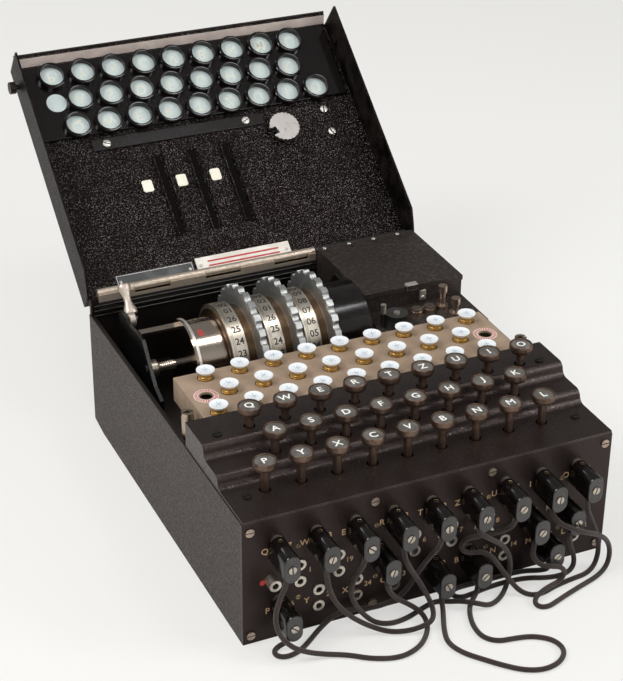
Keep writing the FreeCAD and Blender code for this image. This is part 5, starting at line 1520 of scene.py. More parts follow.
CORD_ROUTES: dict[str, tuple[Triple, ...]] = {
    "QD": ((-105.8, -157.0, 50.0), (-111.0, -158.8, 42.5), (-115.5, -161.0, 30.5), (-114.0, -164.5, 20.0),
           (-108.0, -169.0, 12.0), (-98.0, -171.5, 6.5), (-86.0, -173.0, 2.4), (-74.0, -178.0, 1.8),
           (-62.0, -187.5, 1.8), (-46.0, -193.4, 1.8), (-31.5, -189.5, 1.8), (-21.5, -180.5, 1.8),
           (-15.8, -171.0, 1.8), (-15.6, -163.5, 5.0), (-21.5, -158.6, 9.8), (-31.5, -157.2, 17.0),
           (-38.1, -157.0, 26.5)),
    "PT": ((-104.1, -157.0, 6.8), (-109.6, -154.0, 2.6), (-114.2, -156.6, 1.8), (-114.4, -161.8, 1.8),
           (-109.0, -165.0, 1.8), (-100.0, -163.2, 1.8), (-91.0, -157.0, 1.8), (-81.0, -151.0, 4.8),
           (-69.0, -147.6, 9.8), (-56.5, -147.0, 9.4), (-42.5, -147.0, 5.8), (-28.0, -147.2, 7.0),
           (-19.0, -147.6, 13.5), (-14.0, -149.5, 25.0), (-7.5, -153.0, 38.5), (-1.0, -157.0, 49.0)),
    "WR": ((-79.6, -157.0, 48.0), (-77.5, -159.5, 35.0), (-71.5, -160.5, 24.0), (-62.5, -161.5, 14.0),
           (-52.0, -163.5, 6.2), (-41.5, -168.0, 1.8), (-30.5, -173.0, 2.6), (-20.5, -176.0, 5.9),
           (-13.0, -173.0, 6.2), (-9.8, -166.0, 9.5), (-12.5, -161.0, 18.0), (-18.0, -159.0, 29.5),
           (-24.0, -158.0, 40.0), (-27.2, -157.0, 49.0)),
    "EZ": ((-53.4, -157.0, 50.0), (-60.5, -157.0, 42.0), (-63.2, -157.0, 32.5), (-60.8, -157.5, 22.5),
           (-54.5, -158.5, 12.5), (-46.5, -160.0, 4.5), (-36.0, -161.5, 1.8), (-23.5, -160.0, 1.8),
           (-10.0, -154.5, 1.8), (0.0, -152.0, 1.8), (7.5, -156.5, 2.2), (12.0, -163.0, 5.8),
           (19.5, -169.0, 6.0), (28.5, -170.5, 2.2), (38.5, -166.0, 1.8), (47.0, -158.5, 2.8),
           (52.0, -154.0, 11.0), (50.5, -154.8, 24.5), (43.0, -157.0, 36.5), (31.5, -158.4, 46.0),
           (25.2, -157.0, 50.5)),
    "UO": ((51.4, -157.0, 50.0), (46.0, -155.0, 45.6), (38.0, -152.5, 43.8), (30.0, -151.3, 43.2),
           (22.8, -150.8, 43.8), (18.0, -150.9, 42.2), (16.4, -151.2, 38.4), (18.4, -151.9, 34.6),
           (23.4, -153.0, 33.2), (30.2, -154.8, 33.4),
           (36.5, -156.8, 28.6), (42.0, -158.8, 19.5), (47.5, -161.8, 10.5),
           (52.5, -165.5, 3.4), (58.0, -171.0, 1.8), (66.0, -172.5, 1.8), (77.5, -168.8, 1.8),
           (91.0, -166.6, 1.8), (103.0, -165.5, 1.8), (111.5, -161.5, 4.0), (115.5, -158.5, 13.0),
           (113.5, -158.0, 25.0), (108.0, -157.5, 38.0), (103.8, -157.0, 48.5)),
    "IJ": ((77.6, -157.0, 51.0), (80.5, -163.0, 46.0), (88.0, -169.2, 43.0), (97.5, -170.0, 38.5),
           (108.0, -167.5, 32.5), (117.0, -164.5, 24.0), (121.0, -163.5, 13.5), (118.0, -166.0, 4.5),
           (108.5, -170.5, 1.8), (95.5, -174.5, 1.8), (81.5, -179.0, 1.8), (69.5, -183.4, 1.8),
           (63.0, -185.6, 1.8), (57.8, -184.4, 1.8), (55.8, -180.6, 2.2), (58.0, -176.6, 3.6),
           (64.0, -174.2, 5.2), (71.5, -171.5, 5.4), (78.4, -169.8, 5.2), (82.6, -169.2, 8.2),
           (83.2, -169.2, 12.8), (79.6, -169.2, 16.8), (73.5, -168.6, 18.2), (66.5, -165.4, 19.4),
           (64.0, -159.8, 23.4), (66.7, -157.0, 29.5)),
    "KM": ((92.9, -157.0, 26.0), (96.2, -155.5, 17.0), (98.8, -155.5, 9.8), (98.2, -156.8, 4.2),
           (93.5, -159.0, 1.8), (85.0, -160.5, 1.8), (75.5, -158.5, 1.8), (65.5, -154.0, 1.8),
           (52.0, -152.2, 1.8), (37.0, -152.6, 1.8), (24.5, -154.6, 1.8), (17.6, -155.4, 1.8),
           (13.4, -153.2, 1.8), (12.4, -149.6, 1.8), (14.6, -146.4, 1.8), (19.4, -145.2, 1.8),
           (27.0, -145.2, 1.8), (39.0, -145.6, 1.8),
           (54.0, -145.4, 1.8), (67.0, -146.4, 1.8), (76.0, -152.0, 3.2), (79.3, -157.0, 7.2)),
    "VB": ((0.7, -157.0, 7.0), (-0.2, -161.5, 2.6), (-4.5, -170.5, 1.8), (-9.5, -181.0, 1.8),
           (-13.0, -192.5, 1.8), (-9.0, -204.5, 1.8), (-0.5, -215.0, 1.8), (8.0, -225.0, 1.8),
           (17.5, -234.0, 1.8), (29.0, -238.5, 1.8), (41.5, -236.0, 1.8), (50.0, -227.0, 1.8),
           (48.5, -215.5, 1.8), (38.5, -207.5, 1.8), (27.0, -204.8, 1.8), (16.5, -203.5, 1.8),
           (9.5, -196.5, 1.8), (9.0, -185.5, 1.8), (12.5, -173.5, 1.8), (18.0, -163.5, 1.8),
           (24.5, -158.6, 3.4), (26.9, -157.0, 7.2)),
}


# ---------------------------------------------------------------- keyboard
@dataclass
class Keyboard:
    """The twenty-six keys."""

    palette: Palette
    cap_radius: float = 7.6 * MM
    cap_height: float = 5.6 * MM
    stem_radius: float = 2.75 * MM
    rod_radius: float = 2.0 * MM
    shoulder: float = 78.0 * MM
    letter_height: float = 5.7 * MM
    letters: str = "QWERTZUIOASDFGHJKPYXCVBNML"

    def build(self) -> None:
        """Make every key in place of its plain node."""
        for letter in self.letters:
            self.key(letter)

    def key(self, letter: str) -> None:
        """One key: stem, ring cap with a rolled rim, legend disc and its letter.

        Args:
            letter: The key's letter.
        """
        node = f"key_{letter.lower()}"
        low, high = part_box(node)
        x, y, top = (low.x + high.x) / 2, (low.y + high.y) / 2, high.z
        place = Matrix.Translation(Vector((x, y, top)))
        r, h = self.cap_radius, self.cap_height
        sketch = Sketch()
        sketch.turned([(0.0, low.z - top), (self.rod_radius, low.z - top),
                       (self.rod_radius, self.shoulder - top),
                       (self.stem_radius, self.shoulder - top), (self.stem_radius, -h - 0.2 * MM),
                       (self.stem_radius + 0.5 * MM, -h), (0.90 * r, -h), (0.94 * r, -h + 0.35 * MM),
                       (0.96 * r, -h + 1.6 * MM), (r, -h + 2.0 * MM), (r, -0.9 * MM), (0.98 * r, -0.3 * MM),
                       (0.94 * r, 0.0), (0.90 * r, -0.08 * MM), (0.87 * r, -0.45 * MM),
                       (0.865 * r, -1.0 * MM)],
                      place, 0, 44)
        sketch.turned([(0.87 * r, -0.85 * MM), (0.82 * r, -0.66 * MM), (0.5 * r, -0.54 * MM),
                       (0.0, -0.5 * MM)],
                      place, 1, 44)
        face = place @ Matrix.Translation((0.0, 0.0, -0.53 * MM))
        sketch.lettered(letter, self.letter_height, face, 2, 0.016)
        sketch.piece(f"{node}_top", [self.palette.key_metal, self.palette.key_disc, self.palette.key_letter],
                     node, node)


# ---------------------------------------------------------------- lamps
@dataclass
class Lamps:
    """Lamp panel, its signal lamps and the two ringed holes."""

    palette: Palette
    set_out: SetOut
    pitch: float = 24.2 * MM
    rows: tuple[tuple[int, float, float], ...] = (
        (9, 2.5 * MM, 2.6 * MM), (8, -19.25 * MM, -1.5 * MM), (9, -41.0 * MM, -5.5 * MM))
    top: float = 111.4 * MM
    head_radius: float = 6.25 * MM
    cap_radius: float = 4.6 * MM
    head_height: float = 2.6 * MM
    foot: float = 93.0 * MM
    panel_top: float = 105.0 * MM
    hole: Pair = sizes(102.3, -19.25)
    ring_ticks: int = 26
    ring_band: Pair = sizes(8.3, 5.2)
    tick: Triple = sizes(2.3, 0.95, 6.8)
    mark: Pair = sizes(6.6, 0.6)
    marks: int = 3

    def places(self) -> list[Vector]:
        """The foot of every lamp."""
        return [Vector((offset + self.pitch * (k - (count - 1) / 2), y, self.foot))
                for count, y, offset in self.rows for k in range(count)]

    def build(self) -> None:
        """Make the lamps and the rings, and dress the panel."""
        dress("lamp_panel", self.palette.lamp_paint)
        spots = [(place, UP) for place in self.places()]
        tall = self.top - self.foot
        neck = tall - self.head_height
        cap = Sketch()
        collar = self.panel_top - self.foot
        r = self.cap_radius
        cap.turned([(0.0, 0.0), (r * 0.96, 0.0), (r, 0.4 * MM), (r, collar - 0.4 * MM),
                    (r + 0.55 * MM, collar - 0.2 * MM), (r + 0.55 * MM,
                                                         collar + 0.3 * MM), (r, collar + 0.5 * MM),
                    (r, neck - 2.2 * MM), (r * 0.95, neck - 2.0 * MM), (r * 0.95, neck - 0.7 * MM),
                    (r, neck - 0.5 * MM), (r * 0.99, neck + 0.1 * MM), (0.0, neck + 0.1 * MM)], steps=28)
        self.set_out("lamp_caps", cap, spots, self.palette.brass, "case", "signal_lamps")
        head = Sketch()
        r = self.head_radius
        head.turned([(0.0, neck), (0.76 * r, neck), (0.80 * r, neck + 0.3 * MM), (0.90 * r, neck + 1.1 * MM),
                     (0.98 * r, neck + 1.7 * MM), (r, tall - 0.45 * MM), (0.985 * r, tall - 0.12 * MM),
                     (0.95 * r, tall), (0.90 * r, tall - 0.05 * MM), (0.84 * r, tall - 0.28 * MM),
                     (0.0, tall - 0.34 * MM)], steps=36)
        self.set_out("lamp_heads", head, spots, self.palette.lamp_glass, "case", "signal_lamps")
        mark = Sketch()
        for k in range(self.marks):
            mark.drawn(rounded_box(*self.mark, 0.1 * MM, 1),
                       [(0.0, tall - 0.33 * MM), (0.0, tall - (0.31 - 0.01 * k) * MM)],
                       Matrix.Rotation(math.pi * k / self.marks, 4, "Z"))
        self.set_out("lamp_marks", mark, spots, self.palette.filament, "case", spin=1.0)
        self.rings()

    def rings(self) -> None:
        """Rings of red ticks round the two holes that have no lamp."""
        rings = Sketch()
        outer, inner = self.ring_band
        length, width, reach = self.tick
        for side in (-1.0, 1.0):
            place = Matrix.Translation(Vector((side * self.hole[0], self.hole[1], self.panel_top)))
            rings.turned([(outer, -0.02 * MM), (outer, 0.03 * MM), (inner, 0.03 * MM), (inner, -0.02 * MM)],
                         place, 1, 40)
            for k in range(self.ring_ticks):
                tick = place @ Matrix.Rotation(math.tau * k / self.ring_ticks, 4, "Z")
                rings.drawn(rounded_box(length, width, 0.1 * MM, 1), pairs((0.0, 0.0), (0.0, 0.06)),
                            tick @ Matrix.Translation((reach, 0.0, 0.0)))
        rings.piece("red_rings", [self.palette.red_paint, self.palette.white_plate], "case")


# ---------------------------------------------------------------- rotors
@dataclass
class Rotors:
    """Rotors, numbered rings, reflector and what holds them."""

    palette: Palette
    axis: Pair = ROTOR_AXIS
    wheels: tuple[float, ...] = sizes(-41.5, -14.5, 12.5)
    ring_radius: float = 36.0 * MM
    digits_at: float = -13.5 * MM
    digit_height: float = 4.8 * MM
    shown: tuple[tuple[int, float], ...] = ((25, 125.1), (25, 133.5), (6, 133.4))
    wheel_half: float = 2.3 * MM
    thread: Pair = sizes(-105.6, -92.4)
    thread_pitch: float = 1.5 * MM
    flange_ring: tuple[float, float, float, float] = sizes(-84.3, -82.3, 20.0, 30.2)
    spindle_radius: float = 3.0 * MM
    nut: Triple = sizes(-111.0, -105.6, 6.2)
    lever_x: float = -107.4 * MM
    lever_shift: float = 1.2 * MM
    lever_hub: Pair = sizes(112.0, 96.0)
    lever_knob: Pair = sizes(127.8, 112.4)
    lever_flat: float = 1.32
    letters_on_ring: int = 26
    drum_mark: Triple = (-76.5 * MM, 28.0 * MM, 110.9)

    def build(self) -> None:
        """Dress the turning parts, number the rings, and make the spindle's thread and the lever."""
        for number, wheel in enumerate(self.wheels, 1):
            dress(f"rotor_{number}", self.palette.rotor(number, wheel - self.wheel_half))
            dress(f"index_ring_{number}", self.palette.ring_metal)
            self.numbers(number)
        dress("reflector", self.palette.drum)
        x, radius, degrees = self.drum_mark
        mark = Sketch()
        mark.lettered("B", 5.4 * MM, weight=0.02, thickness=0.17 * MM,
                      wrap=self.wrap(x, radius, math.radians(degrees)))
        mark.piece("reflector_mark", [self.palette.red_paint], "reflector")
        self.flange()
        self.spindle()
        self.lever()

    def flange(self) -> None:
        """Pale face of the reflector's flange, a ring round its hub."""
        start, end, inner, outer = self.flange_ring
        ring = Sketch()
        ring.turned([(inner, 0.0), (outer - 0.2 * MM, 0.0), (outer, 0.2 * MM),
                     (outer, end - start - 0.2 * MM),
                     (outer - 0.2 * MM, end - start), (inner, end - start), (inner, 0.0)],
                    facing(Vector((end, *self.axis)), -ACROSS), 0, 72)
        ring.piece("reflector_flange", [self.palette.bright], "reflector")

    def spindle(self) -> None:
        """Thread and ring nut on the spindle, inside the left bearing plate."""
        start, end = self.thread
        profile = [(0.0, 0.0)]
        root, crest = self.spindle_radius + 0.05 * MM, self.spindle_radius + 0.5 * MM
        for k in range(int((end - start) / self.thread_pitch)):
            low = k * self.thread_pitch
            profile += [(root, low), (crest, low + self.thread_pitch / 2)]
        profile += [(root, end - start), (0.0, end - start)]
        sketch = Sketch()
        sketch.turned(profile, facing(Vector((start, *self.axis)), ACROSS), 0, 28)
        near, far, radius = self.nut
        sketch.turned([(0.0, 0.0), (radius, 0.0), (radius, far - near - 0.6 * MM),
                       (radius - 0.6 * MM, far - near),
                       (radius * 0.72, far - near), (radius * 0.66, far - near - 0.7 * MM),
                       (0.0, far - near - 0.7 * MM)], facing(Vector((near, *self.axis)), ACROSS), 0, 32)
        sketch.piece("spindle_thread", [self.palette.screw_metal], "case")

    def lever(self) -> None:
        """Release lever: hub, flared foot, waist and a round knob."""
        hub = Vector((self.lever_x, *self.lever_hub))
        knob = Vector((self.lever_x, *self.lever_knob))
        along = (knob - hub).normalized()
        frame = Matrix.Translation(hub) @ Matrix((ACROSS, along.cross(ACROSS), along)).transposed().to_4x4()
        reach = (knob - hub).length
        sketch = Sketch()
        sketch.turned(pairs((2.8, 0.0), (4.9, 0.0), (5.4, 0.5), (5.4, 4.5), (4.9, 5.0), (2.8, 5.0),
                            (2.8, 0.0)),
                      facing(hub - ACROSS * 2.5 * MM, ACROSS), 0, 36)
        flat = (frame @ Matrix.Translation((self.lever_shift, 0.0, 0.0))
                @ Matrix.Diagonal((self.lever_flat, 1.0, 1.0, 1.0)))
        sketch.turned([(0.0, 3.6 * MM), sizes(3.3, 3.6), sizes(3.7, 4.4), sizes(3.5, 7.4),
                       sizes(2.6, 10.0), sizes(2.0, 12.6), sizes(1.9, 15.6), sizes(2.4, 18.4),
                       (3.2 * MM, reach - 1.4 * MM), (3.65 * MM, reach + 0.6 * MM), (3.5 * MM,
                                                                                     reach + 2.2 * MM),
                       (2.6 * MM, reach + 3.3 * MM), (0.0, reach + 3.7 * MM)], flat, 0, 32)
        sketch.piece("release_lever_turned", [self.palette.cast], "release_lever", "release_lever")

    def wrap(self, x: float, radius: float, turn: float) -> Callable[[Vector], Vector]:
        """Bends flat letters round the rotors' axis.

        Args:
            x: Where the letters' middle is along the axis.
            radius: Of the drum.
            turn: Angle of the middle, from +Y towards +Z.

        Returns:
            A function that moves a flat point onto the drum.
        """
        def bend(point: Vector) -> Vector:
            """The place on the drum of a flat point."""
            angle = turn - point.y / radius
            reach = radius + 0.03 * MM + point.z
            return Vector((x + point.x, self.axis[0] + reach * math.cos(angle),
                           self.axis[1] + reach * math.sin(angle)))
        return bend

    def numbers(self, number: int) -> None:
        """The numbers 01 to 26 round a ring, and two fine lines beside them.

        Args:
            number: The ring, from 1 at the left.
        """
        anchor, degrees = self.shown[number - 1]
        wheel = self.wheels[number - 1]
        sketch = Sketch()
        for value in range(1, self.letters_on_ring + 1):
            turn = math.radians(degrees + (anchor - value) * 360.0 / self.letters_on_ring)
            sketch.lettered(f"{value:02d}", self.digit_height, weight=0.018, thickness=0.13 * MM,
                            wrap=self.wrap(wheel + self.digits_at, self.ring_radius, turn))
        axis = facing(Vector((wheel + self.digits_at - 5.0 * MM, *self.axis)), ACROSS)
        low, high = self.ring_radius - 0.02 * MM, self.ring_radius + 0.03 * MM
        for offset in (0.0, 1.0):
            near, far = offset * MM, (offset + 0.22) * MM
            sketch.turned([(low, near), (high, near), (high, far), (low, far)], axis, 0, 96)
        sketch.piece(f"ring_numbers_{number}", [self.palette.black_letter], f"index_ring_{number}")


# ---------------------------------------------------------------- lid
@dataclass
class Lid:
    """Lid, its windows, and what is fixed inside it."""

    palette: Palette
    set_out: SetOut
    lamps: Lamps
    window_radius: float = 8.75 * MM
    collar_radius: float = 10.7 * MM
    collar_height: float = 5.0 * MM
    outer_disc: Triple = sizes(8.6, 1.5, 2.3)
    plate: Pair = sizes(131.0, 194.0)
    plate_half: float = 124.0 * MM
    plate_top: float = 2.3 * MM
    plate_bottom: float = 4.3 * MM
    spare: Pair = sizes(-104.3, 7.6)
    names: str = "QWERTZUIO" + "ASDFGHJK" + "PYXCVBNML"
    letter_height: float = 8.4 * MM
    slot_x: tuple[float, ...] = sizes(-41.5, -14.5, 12.5)
    slot: Triple = sizes(39.0, 106.0, 7.0)
    wheel_room: float = 2.45 * MM
    lip_gap: float = 0.06 * MM
    roll: Triple = sizes(202.2, 9.2, 0.9)
    pane: Triple = sizes(-14.5, 82.2, 0.6)
    black_plate: tuple[float, float, float, float] = sizes(-102.0, -42.0, 4.4, 16.0)
    white_plate: tuple[float, float, float, float] = sizes(-39.7, 35.0, 4.8, 17.6)
    stiffener: tuple[float, float, float, float] = sizes(-88.0, 50.0, 117.0, 126.5)
    stiffener_height: float = 1.6 * MM
    skin: float = 1.5 * MM
    screw: Screw = Screw(2.9 * MM, 1.0 * MM, 0.8 * MM)
    pane_size: Pair = sizes(8.0, 9.8)
    plate_rise: float = 0.7 * MM
    rivet_inset: float = 3.2 * MM
    rule_shares: Pair = (0.40, 0.68)
    rule_margin: float = 9.0 * MM
    rim_inset: float = 1.0 * MM
    roll_half: float = 127.0 * MM
    ring_radii: Triple = sizes(1.4, 2.8, 4.2)
    skin_screws: tuple[Pair, ...] = (
        sizes(-121.3, 185.5), sizes(121.3, 185.5), sizes(-121.3, 160.8), sizes(121.3, 160.8),
        sizes(101.0, 121.2), sizes(101.0, 101.2))
    bar_screws: tuple[Pair, ...] = (sizes(-76.5, 121.75), sizes(35.0, 121.75))
    dial: Triple = sizes(61.3, 108.3, 10.0)

    def windows(self) -> list[Pair]:
        """(x, distance) of every lamp's window."""
        return [(place.x, LID.hinge.y - place.y) for place in self.lamps.places()]

    def spots(self) -> list[tuple[Vector, Vector]]:
        """The middle of every window on the plate, and the way that it faces."""
        return [(LID.place(x, d, self.plate_bottom), LID.inward) for x, d in self.windows()]

    def build(self) -> None:
        """Dress the lid and make its windows, fittings, plates and slot lips."""
        paint = self.palette
        for node, finish in (("lid", paint.lid_paint), ("lid_hinge", paint.hinge_leaf),
                             ("lid_switch_dial", paint.dial_zinc), ("lid_catch_left", paint.catch_steel),
                             ("lid_catch_right", paint.catch_steel)):
            dress(node, finish)
        self.window_plate()
        self.discs()
        self.panes()
        self.fittings()
        self.plates()
        self.slot_lips()
        self.front_roll()
        self.dial_rings()

    @staticmethod
    def laid(sketch: Sketch, span: tuple[float, float, float, float], corner: float, rise: float, soft: float,
             depth: float, slot: int = 0) -> None:
        """Lay a rounded plate on the lid's inner side.

        Args:
            sketch: What it is added to.
            span: Its left, right, near and far side, across the machine and forward of the hinge.
            corner: Radius of its corners.
            rise: Its thickness.
            soft: Width of its bevelled edge.
            depth: Where it starts, below the lid's outer face.
            slot: The finish.
        """
        left, right, near, far = span
        layers = [(0.0, 0.0), (0.0, rise - soft), (soft, rise)] if soft else [(0.0, 0.0), (0.0, rise)]
        sketch.drawn(rounded_box(right - left, far - near, corner), layers,
                     LID.matrix((left + right) / 2, (near + far) / 2, depth), slot)

    def window_plate(self) -> None:
        """Black plate with a collar round every window."""
        base = Sketch()
        self.laid(base, (-self.plate_half, self.plate_half, *self.plate), 1.5 * MM,
                  self.plate_bottom - self.plate_top, 0.4 * MM, self.plate_top)
        base.piece("window_base", [self.palette.window_black], "lid_body", "lid_windows")
        outer, inner, tall = self.collar_radius, self.window_radius, self.collar_height
        collar = Sketch()
        collar.turned([(inner, -0.2 * MM), (outer, -0.2 * MM), (outer, tall - 1.6 * MM),
                       (outer - 0.35 * MM, tall - 1.3 * MM), (outer - 0.35 * MM, tall - 0.8 * MM),
                       (outer, tall - 0.5 * MM), (outer - 0.25 * MM, tall - 0.1 * MM),
                       ((outer + inner) / 2, tall), (inner + 0.25 * MM, tall - 0.1 * MM), (inner,
                                                                                           tall - 0.5 * MM),
                       (inner, -0.2 * MM)], steps=44)
        self.set_out("window_collars", collar, self.spots(), self.palette.window_black, "lid_body",
                     "lid_windows")

    def discs(self) -> None:
        """Pale discs with their letters, seen inside the lid and from above it."""
        windows = self.windows()
        inner = Sketch()
        radius = self.window_radius + 0.1 * MM
        inner.turned([(0.0, -0.3 * MM), (radius, -0.3 * MM), (radius, 0.1 * MM), (radius * 0.7, 0.28 * MM),
                      (0.0, 0.36 * MM)], steps=40)
        # Their pale colour is partly a painted glow of light from behind.
        self.set_out("window_discs", inner, self.spots(), self.palette.window_disc, "lid_body", "lid_windows")
        x, radius = self.spare
        spare = Sketch()
        spare.turned([(0.0, -0.3 * MM), (radius, -0.3 * MM), (radius, 0.1 * MM), (0.0, 0.3 * MM)],
                     LID.matrix(x, LID.hinge.y - self.lamps.rows[1][1], self.plate_bottom), steps=40)
        spare.piece("spare_disc", [self.palette.window_disc], "lid_body")
        radius, top, bottom = self.outer_disc
        outer = Sketch()
        outer.turned(rod(radius, bottom - top), steps=36)
        self.set_out("outer_discs", outer, [(LID.place(x, d, bottom), -LID.inward) for x, d in windows],
                     self.palette.window_disc, "lid_body", "lid_windows")
        letters = Sketch()
        above = Sketch()
        for (x, d), letter in zip(windows, self.names):
            letters.lettered(letter, self.letter_height, LID.matrix(x, d, self.plate_bottom + 0.37 * MM,
                                                                    True),
                             weight=0.010, thickness=0.1 * MM)
            above.lettered(letter, self.letter_height, LID.outer(x, d, top - 0.03 * MM))
        letters.piece("window_letters", [self.palette.window_letter], "lid_body")
        above.piece("window_letters_above", [self.palette.black_letter], "lid_body")

    def panes(self) -> None:
        """Pale panes of the three index windows, their cream partly a painted glow of light from behind."""
        offset, distance, height = self.pane
        panes = Sketch()
        for wheel in self.slot_x:
            panes.drawn(rounded_box(*self.pane_size, 1.6 * MM),
                        [(0.0, 0.0), (0.0, height - 0.2 * MM), (0.25 * MM, height)],
                        LID.matrix(wheel + offset, distance, self.skin - 0.02 * MM))
        panes.piece("index_panes", [self.palette.pane], "lid_body")

    def fittings(self) -> None:
        """Stiffening bar and screws on the lid's inner face."""
        bar = Sketch()
        self.laid(bar, self.stiffener, 0.8 * MM, self.stiffener_height, 0.35 * MM, self.skin)
        bar.piece("lid_stiffener", [self.palette.gloss_black], "lid_body", "lid_fittings")
        spots = [(LID.place(x, d, self.skin), LID.inward) for x, d in self.skin_screws]
        spots += [(LID.place(x, d, self.skin + self.stiffener_height), LID.inward) for x,
                  d in self.bar_screws]
        self.set_out("lid_screws", self.screw.head(), spots, self.palette.bright, "lid_body", "lid_fittings",
                     spin=SCREW_SPIN)
        # Painted shade fills the screw slots.
        self.set_out("lid_screw_slots", self.screw.shade_fill(), spots, self.palette.slot_dirt, "lid_body",
                     spin=SCREW_SPIN)

    def plates(self) -> None:
        """The bare plates near the hinge, with rivets, the black one's rim and the white one's rules."""
        sketch = Sketch()
        top = self.skin + self.plate_rise
        for slot, plate in ((0, self.black_plate), (1, self.white_plate)):
            self.laid(sketch, plate, 0.6 * MM, self.plate_rise, 0.08 * MM, self.skin, slot)
            left, right, near, far = plate
            for x in (left + self.rivet_inset, right - self.rivet_inset):
                sketch.turned(pairs((1.3, 0.0), (1.1, 0.3), (0.0, 0.45)), LID.matrix(x, (near + far) / 2,
                                                                                     top),
                              3, 18)
        left, right, near, far = self.white_plate
        for share in self.rule_shares:
            middle = near + (far - near) * share
            self.laid(sketch, (left + self.rule_margin, right - self.rule_margin, middle - 0.65 * MM,
                               middle + 0.65 * MM), 0.2 * MM, 0.05 * MM, 0.0, top, 2)
        left, right, near, far = self.black_plate
        middle = ((left + right) / 2, (near + far) / 2)
        inset = self.rim_inset
        for x, d, width, height in ((middle[0], near + 0.9 * MM, right - left - 2 * inset, 0.4 * MM),
                                    (middle[0], far - 0.9 * MM, right - left - 2 * inset, 0.4 * MM),
                                    (left + 1.1 * MM, middle[1], 0.4 * MM, far - near - 2 * inset),
                                    (right - 1.1 * MM, middle[1], 0.4 * MM, far - near - 2 * inset)):
            sketch.drawn(rounded_box(width, height, 0.1 * MM, 1), pairs((0.0, 0.0), (0.0, 0.04)),
                         LID.matrix(x, d, top), 3)
        sketch.piece("bare_plates", [self.palette.black_plate, self.palette.white_plate,
                                     self.palette.red_paint,
                                     self.palette.dial_zinc], "lid_body", "lid_fittings")

    def slot_lips(self) -> None:
        """Painted edges of the thumbwheel slots, and near-black lips that nearly close them, standing in for
        the slots' shade.
        """
        near, far, width = self.slot
        middle = (near + far) / 2
        edge = width / 2 - self.wheel_room
        span = self.wheel_room - self.lip_gap
        rims = Sketch()
        for number, x in enumerate(self.slot_x, 1):
            for name, side in (("left", -1.0), ("right", 1.0)):
                rims.drawn(rounded_box(edge, far - near, 0.1 * MM, 1), [(0.0, 0.0), (0.0, self.skin)],
                           LID.matrix(x + side * (width - edge) / 2, middle, 0.0))
                # Each lip is a near-black sheet that stands in for the shade in the slot.
                lip = Sketch()
                lip.drawn(rounded_box(span, far - near, 0.1 * MM, 1), [(0.0, 0.0), (0.0, 0.5 * MM)],
                          LID.matrix(x + side * (self.wheel_room - span / 2), middle, 0.5 * MM))
                piece = lip.piece(f"slot_lip_{name}_{number}", [self.palette.lip_shade], "lid_body")
                tuple(LID.place(x + side * self.wheel_room, near, 0.5 * MM))
                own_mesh(piece)
        rims.piece("slot_rims", [self.palette.lid_paint], "lid_body")

    def front_roll(self) -> None:
        """Rolled black edge along the lid's front."""
        distance, depth, radius = self.roll
        length = 2 * self.roll_half
        roll = Sketch()
        roll.turned([(0.0, 0.0), (radius * 0.7, 0.0), (radius, 0.4 * MM), (radius, length - 0.4 * MM),
                     (radius * 0.7, length), (0.0, length)],
                    facing(LID.place(-self.roll_half, distance, depth), ACROSS), 0, 16)
        roll.piece("lid_front_roll", [self.palette.inner_black], "lid_body")

    def dial_rings(self) -> None:
        """Turned rings on the face of the switch dial."""
        x, d, depth = self.dial
        rings = Sketch()
        for radius in self.ring_radii:
            rings.turned([(radius - 0.45 * MM, -0.02 * MM), (radius + 0.45 * MM, -0.02 * MM),
                          (radius + 0.2 * MM, 0.03 * MM), (radius - 0.2 * MM, 0.03 * MM),
                          (radius - 0.45 * MM, -0.02 * MM)], LID.matrix(x, d, depth), 0, 40)
        rings.piece("dial_rings", [self.palette.dial_zinc], "lid_switch_dial")


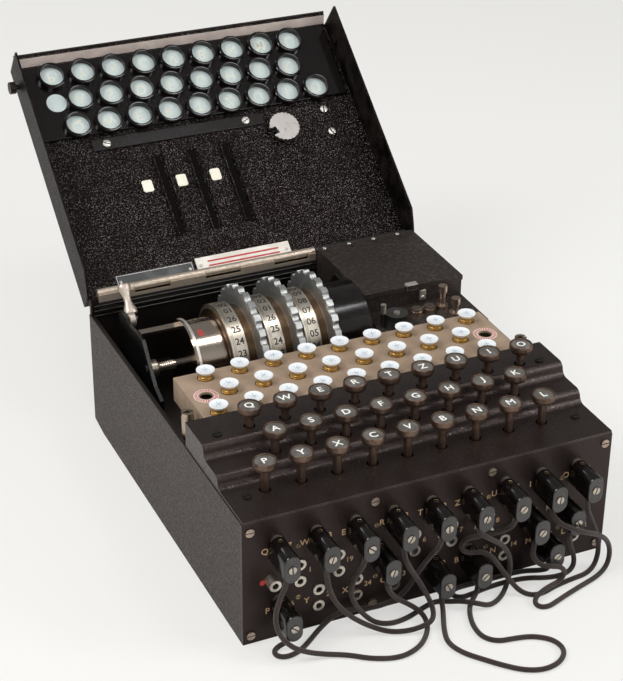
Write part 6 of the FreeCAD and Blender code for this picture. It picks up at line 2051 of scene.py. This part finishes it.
# ---------------------------------------------------------------- studio
@dataclass
class Studio:
    """Camera, lamps, floor and world."""

    location: Triple = (-0.4678, -0.9832, 0.7291)
    right: Triple = (0.91163507, -0.41092458, 0.00790519)
    up: Triple = (0.19620659, 0.45202353, 0.87015958)
    back: Triple = (-0.3611433, -0.79171694, 0.49270661)
    lens: float = 98.69
    floor_colour: Colour = (0.83, 0.82, 0.80)
    floor_veil: float = 0.6
    backdrop: Colour = (0.905, 0.90, 0.88)
    mirrored: float = 0.25
    mirrored_front: float = 0.42
    ambient: float = 0.40
    mirrored_way: Triple = (0.25, -0.95, 0.2)
    floor_reach: float = 6.0
    lights: tuple[tuple[str, Triple, Triple, float, float], ...] = (
        ("left_light", (-0.95, -0.10, 1.25), (0.0, 0.0, 0.05), 0.6, 12.0),
        ("right_light", (1.05, -0.75, 0.95), (0.0, 0.0, 0.05), 0.5, 8.0),
        ("front_light", (-0.25, -1.5, 1.0), (0.0, -0.05, 0.05), 0.6, 5.0),
        ("top_light", (0.38, -0.24, 1.33), (-0.05, -0.09, 0.12), 0.3, 2.4),
        ("rear_light", (-0.75, 1.5, 1.6), (0.0, 0.1, 0.1), 0.9, 9.0))

    def build(self) -> None:
        """Make everything round the object."""
        self.camera()
        self.floor()
        self.world()
        for light in self.lights:
            self.lamp(*light)

    def camera(self) -> None:
        """The camera at its fixed place."""
        data = bpy.data.cameras.new("camera")
        data.lens = self.lens
        data.sensor_width = 36.0
        data.sensor_fit = "AUTO"
        data.clip_start = 0.01
        data.clip_end = 50.0
        camera = bpy.data.objects.new("camera", data)
        turn = Matrix((self.right, self.up, self.back)).transposed().to_4x4()
        camera.matrix_world = Matrix.Translation(self.location) @ turn
        bpy.context.scene.collection.objects.link(camera)
        bpy.context.scene.camera = camera
        bpy.context.scene.view_settings.view_transform = "Standard"

    def lamp(self, name: str, at: Triple, towards: Triple, size: float,
             power: float) -> None:
        """A soft square lamp.

        Args:
            name: Its name.
            at: Where it hangs.
            towards: What it points at.
            size: Its side.
            power: In watts.
        """
        data = bpy.data.lights.new(name, "AREA")
        data.shape = "SQUARE"
        data.size = size
        data.energy = power
        lamp = bpy.data.objects.new(name, data)
        lamp.matrix_world = facing(Vector(at), Vector(at) - Vector(towards))
        bpy.context.scene.collection.objects.link(lamp)

    def floor(self) -> None:
        """A wide pale floor."""
        mesh = bpy.data.meshes.new("floor")
        reach = self.floor_reach
        mesh.from_pydata([(-reach, -reach, 0.0), (reach, -reach, 0.0), (reach, reach, 0.0),
                          (-reach, reach, 0.0)],
                         [], [(0, 1, 2, 3)])
        material = bpy.data.materials.new("floor_paper")
        material.use_nodes = True
        graph = Graph(material.node_tree)
        where = graph.add("ShaderNodeTexCoord").outputs["Object"]
        tone = graph.mix(graph.step(graph.noise(where, 0.4, 2.0), 0.3, 0.7), self.floor_colour,
                         shaded(self.floor_colour, 0.985))
        shader = graph.add("ShaderNodeBsdfPrincipled", {"Base Color": tone, "Roughness": 0.9,
                                                        "Specular IOR Level": 0.1})
        paper = graph.add("ShaderNodeEmission", {"Color": rgba(self.backdrop)})
        seen = graph.times(graph.add("ShaderNodeLightPath").outputs["Is Camera Ray"], self.floor_veil)
        veiled = graph.add("ShaderNodeMixShader", {0: seen, 1: shader.outputs[0], 2: paper.outputs[0]})
        graph.add("ShaderNodeOutputMaterial", {0: veiled.outputs[0]})
        mesh.materials.append(material)
        floor = bpy.data.objects.new("floor", mesh)
        bpy.context.scene.collection.objects.link(floor)

    def world(self) -> None:
        """A pale backdrop that lights gently and is mirrored mostly from the front."""
        world = bpy.data.worlds.new("world")
        bpy.context.scene.world = world
        world.use_nodes = True
        graph = Graph(world.node_tree)
        rays = graph.add("ShaderNodeLightPath")
        seen = graph.times(rays.outputs["Is Camera Ray"], 1.0 - self.ambient)
        towards = graph.along(graph.add("ShaderNodeTexCoord").outputs["Generated"], self.mirrored_way)
        level = graph.step(towards, 0.72, 0.97, self.mirrored - self.ambient,
                           self.mirrored_front - self.ambient)
        glossy = graph.times(rays.outputs["Is Glossy Ray"], level)
        strength = graph.math("ADD", self.ambient, graph.math("ADD", seen, glossy))
        backdrop = graph.add("ShaderNodeBackground", {"Strength": strength, "Color": rgba(self.backdrop)})
        graph.add("ShaderNodeOutputWorld", {0: backdrop.outputs[0]})


def main() -> None:
    """Build the machine's looks."""
    logging.basicConfig(level=logging.INFO, format="%(message)s")
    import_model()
    Studio().build()
    palette = Palette()
    set_out = SetOut()
    lamps = Lamps(palette, set_out)
    for part in (PlugPanel(palette, set_out), Case(palette, set_out), Keyboard(palette), lamps,
                 Rotors(palette),
                 Lid(palette, set_out, lamps)):
        part.build()
        LOG.info("%s is done", type(part).__name__)


if __name__ == "__main__":
    main()
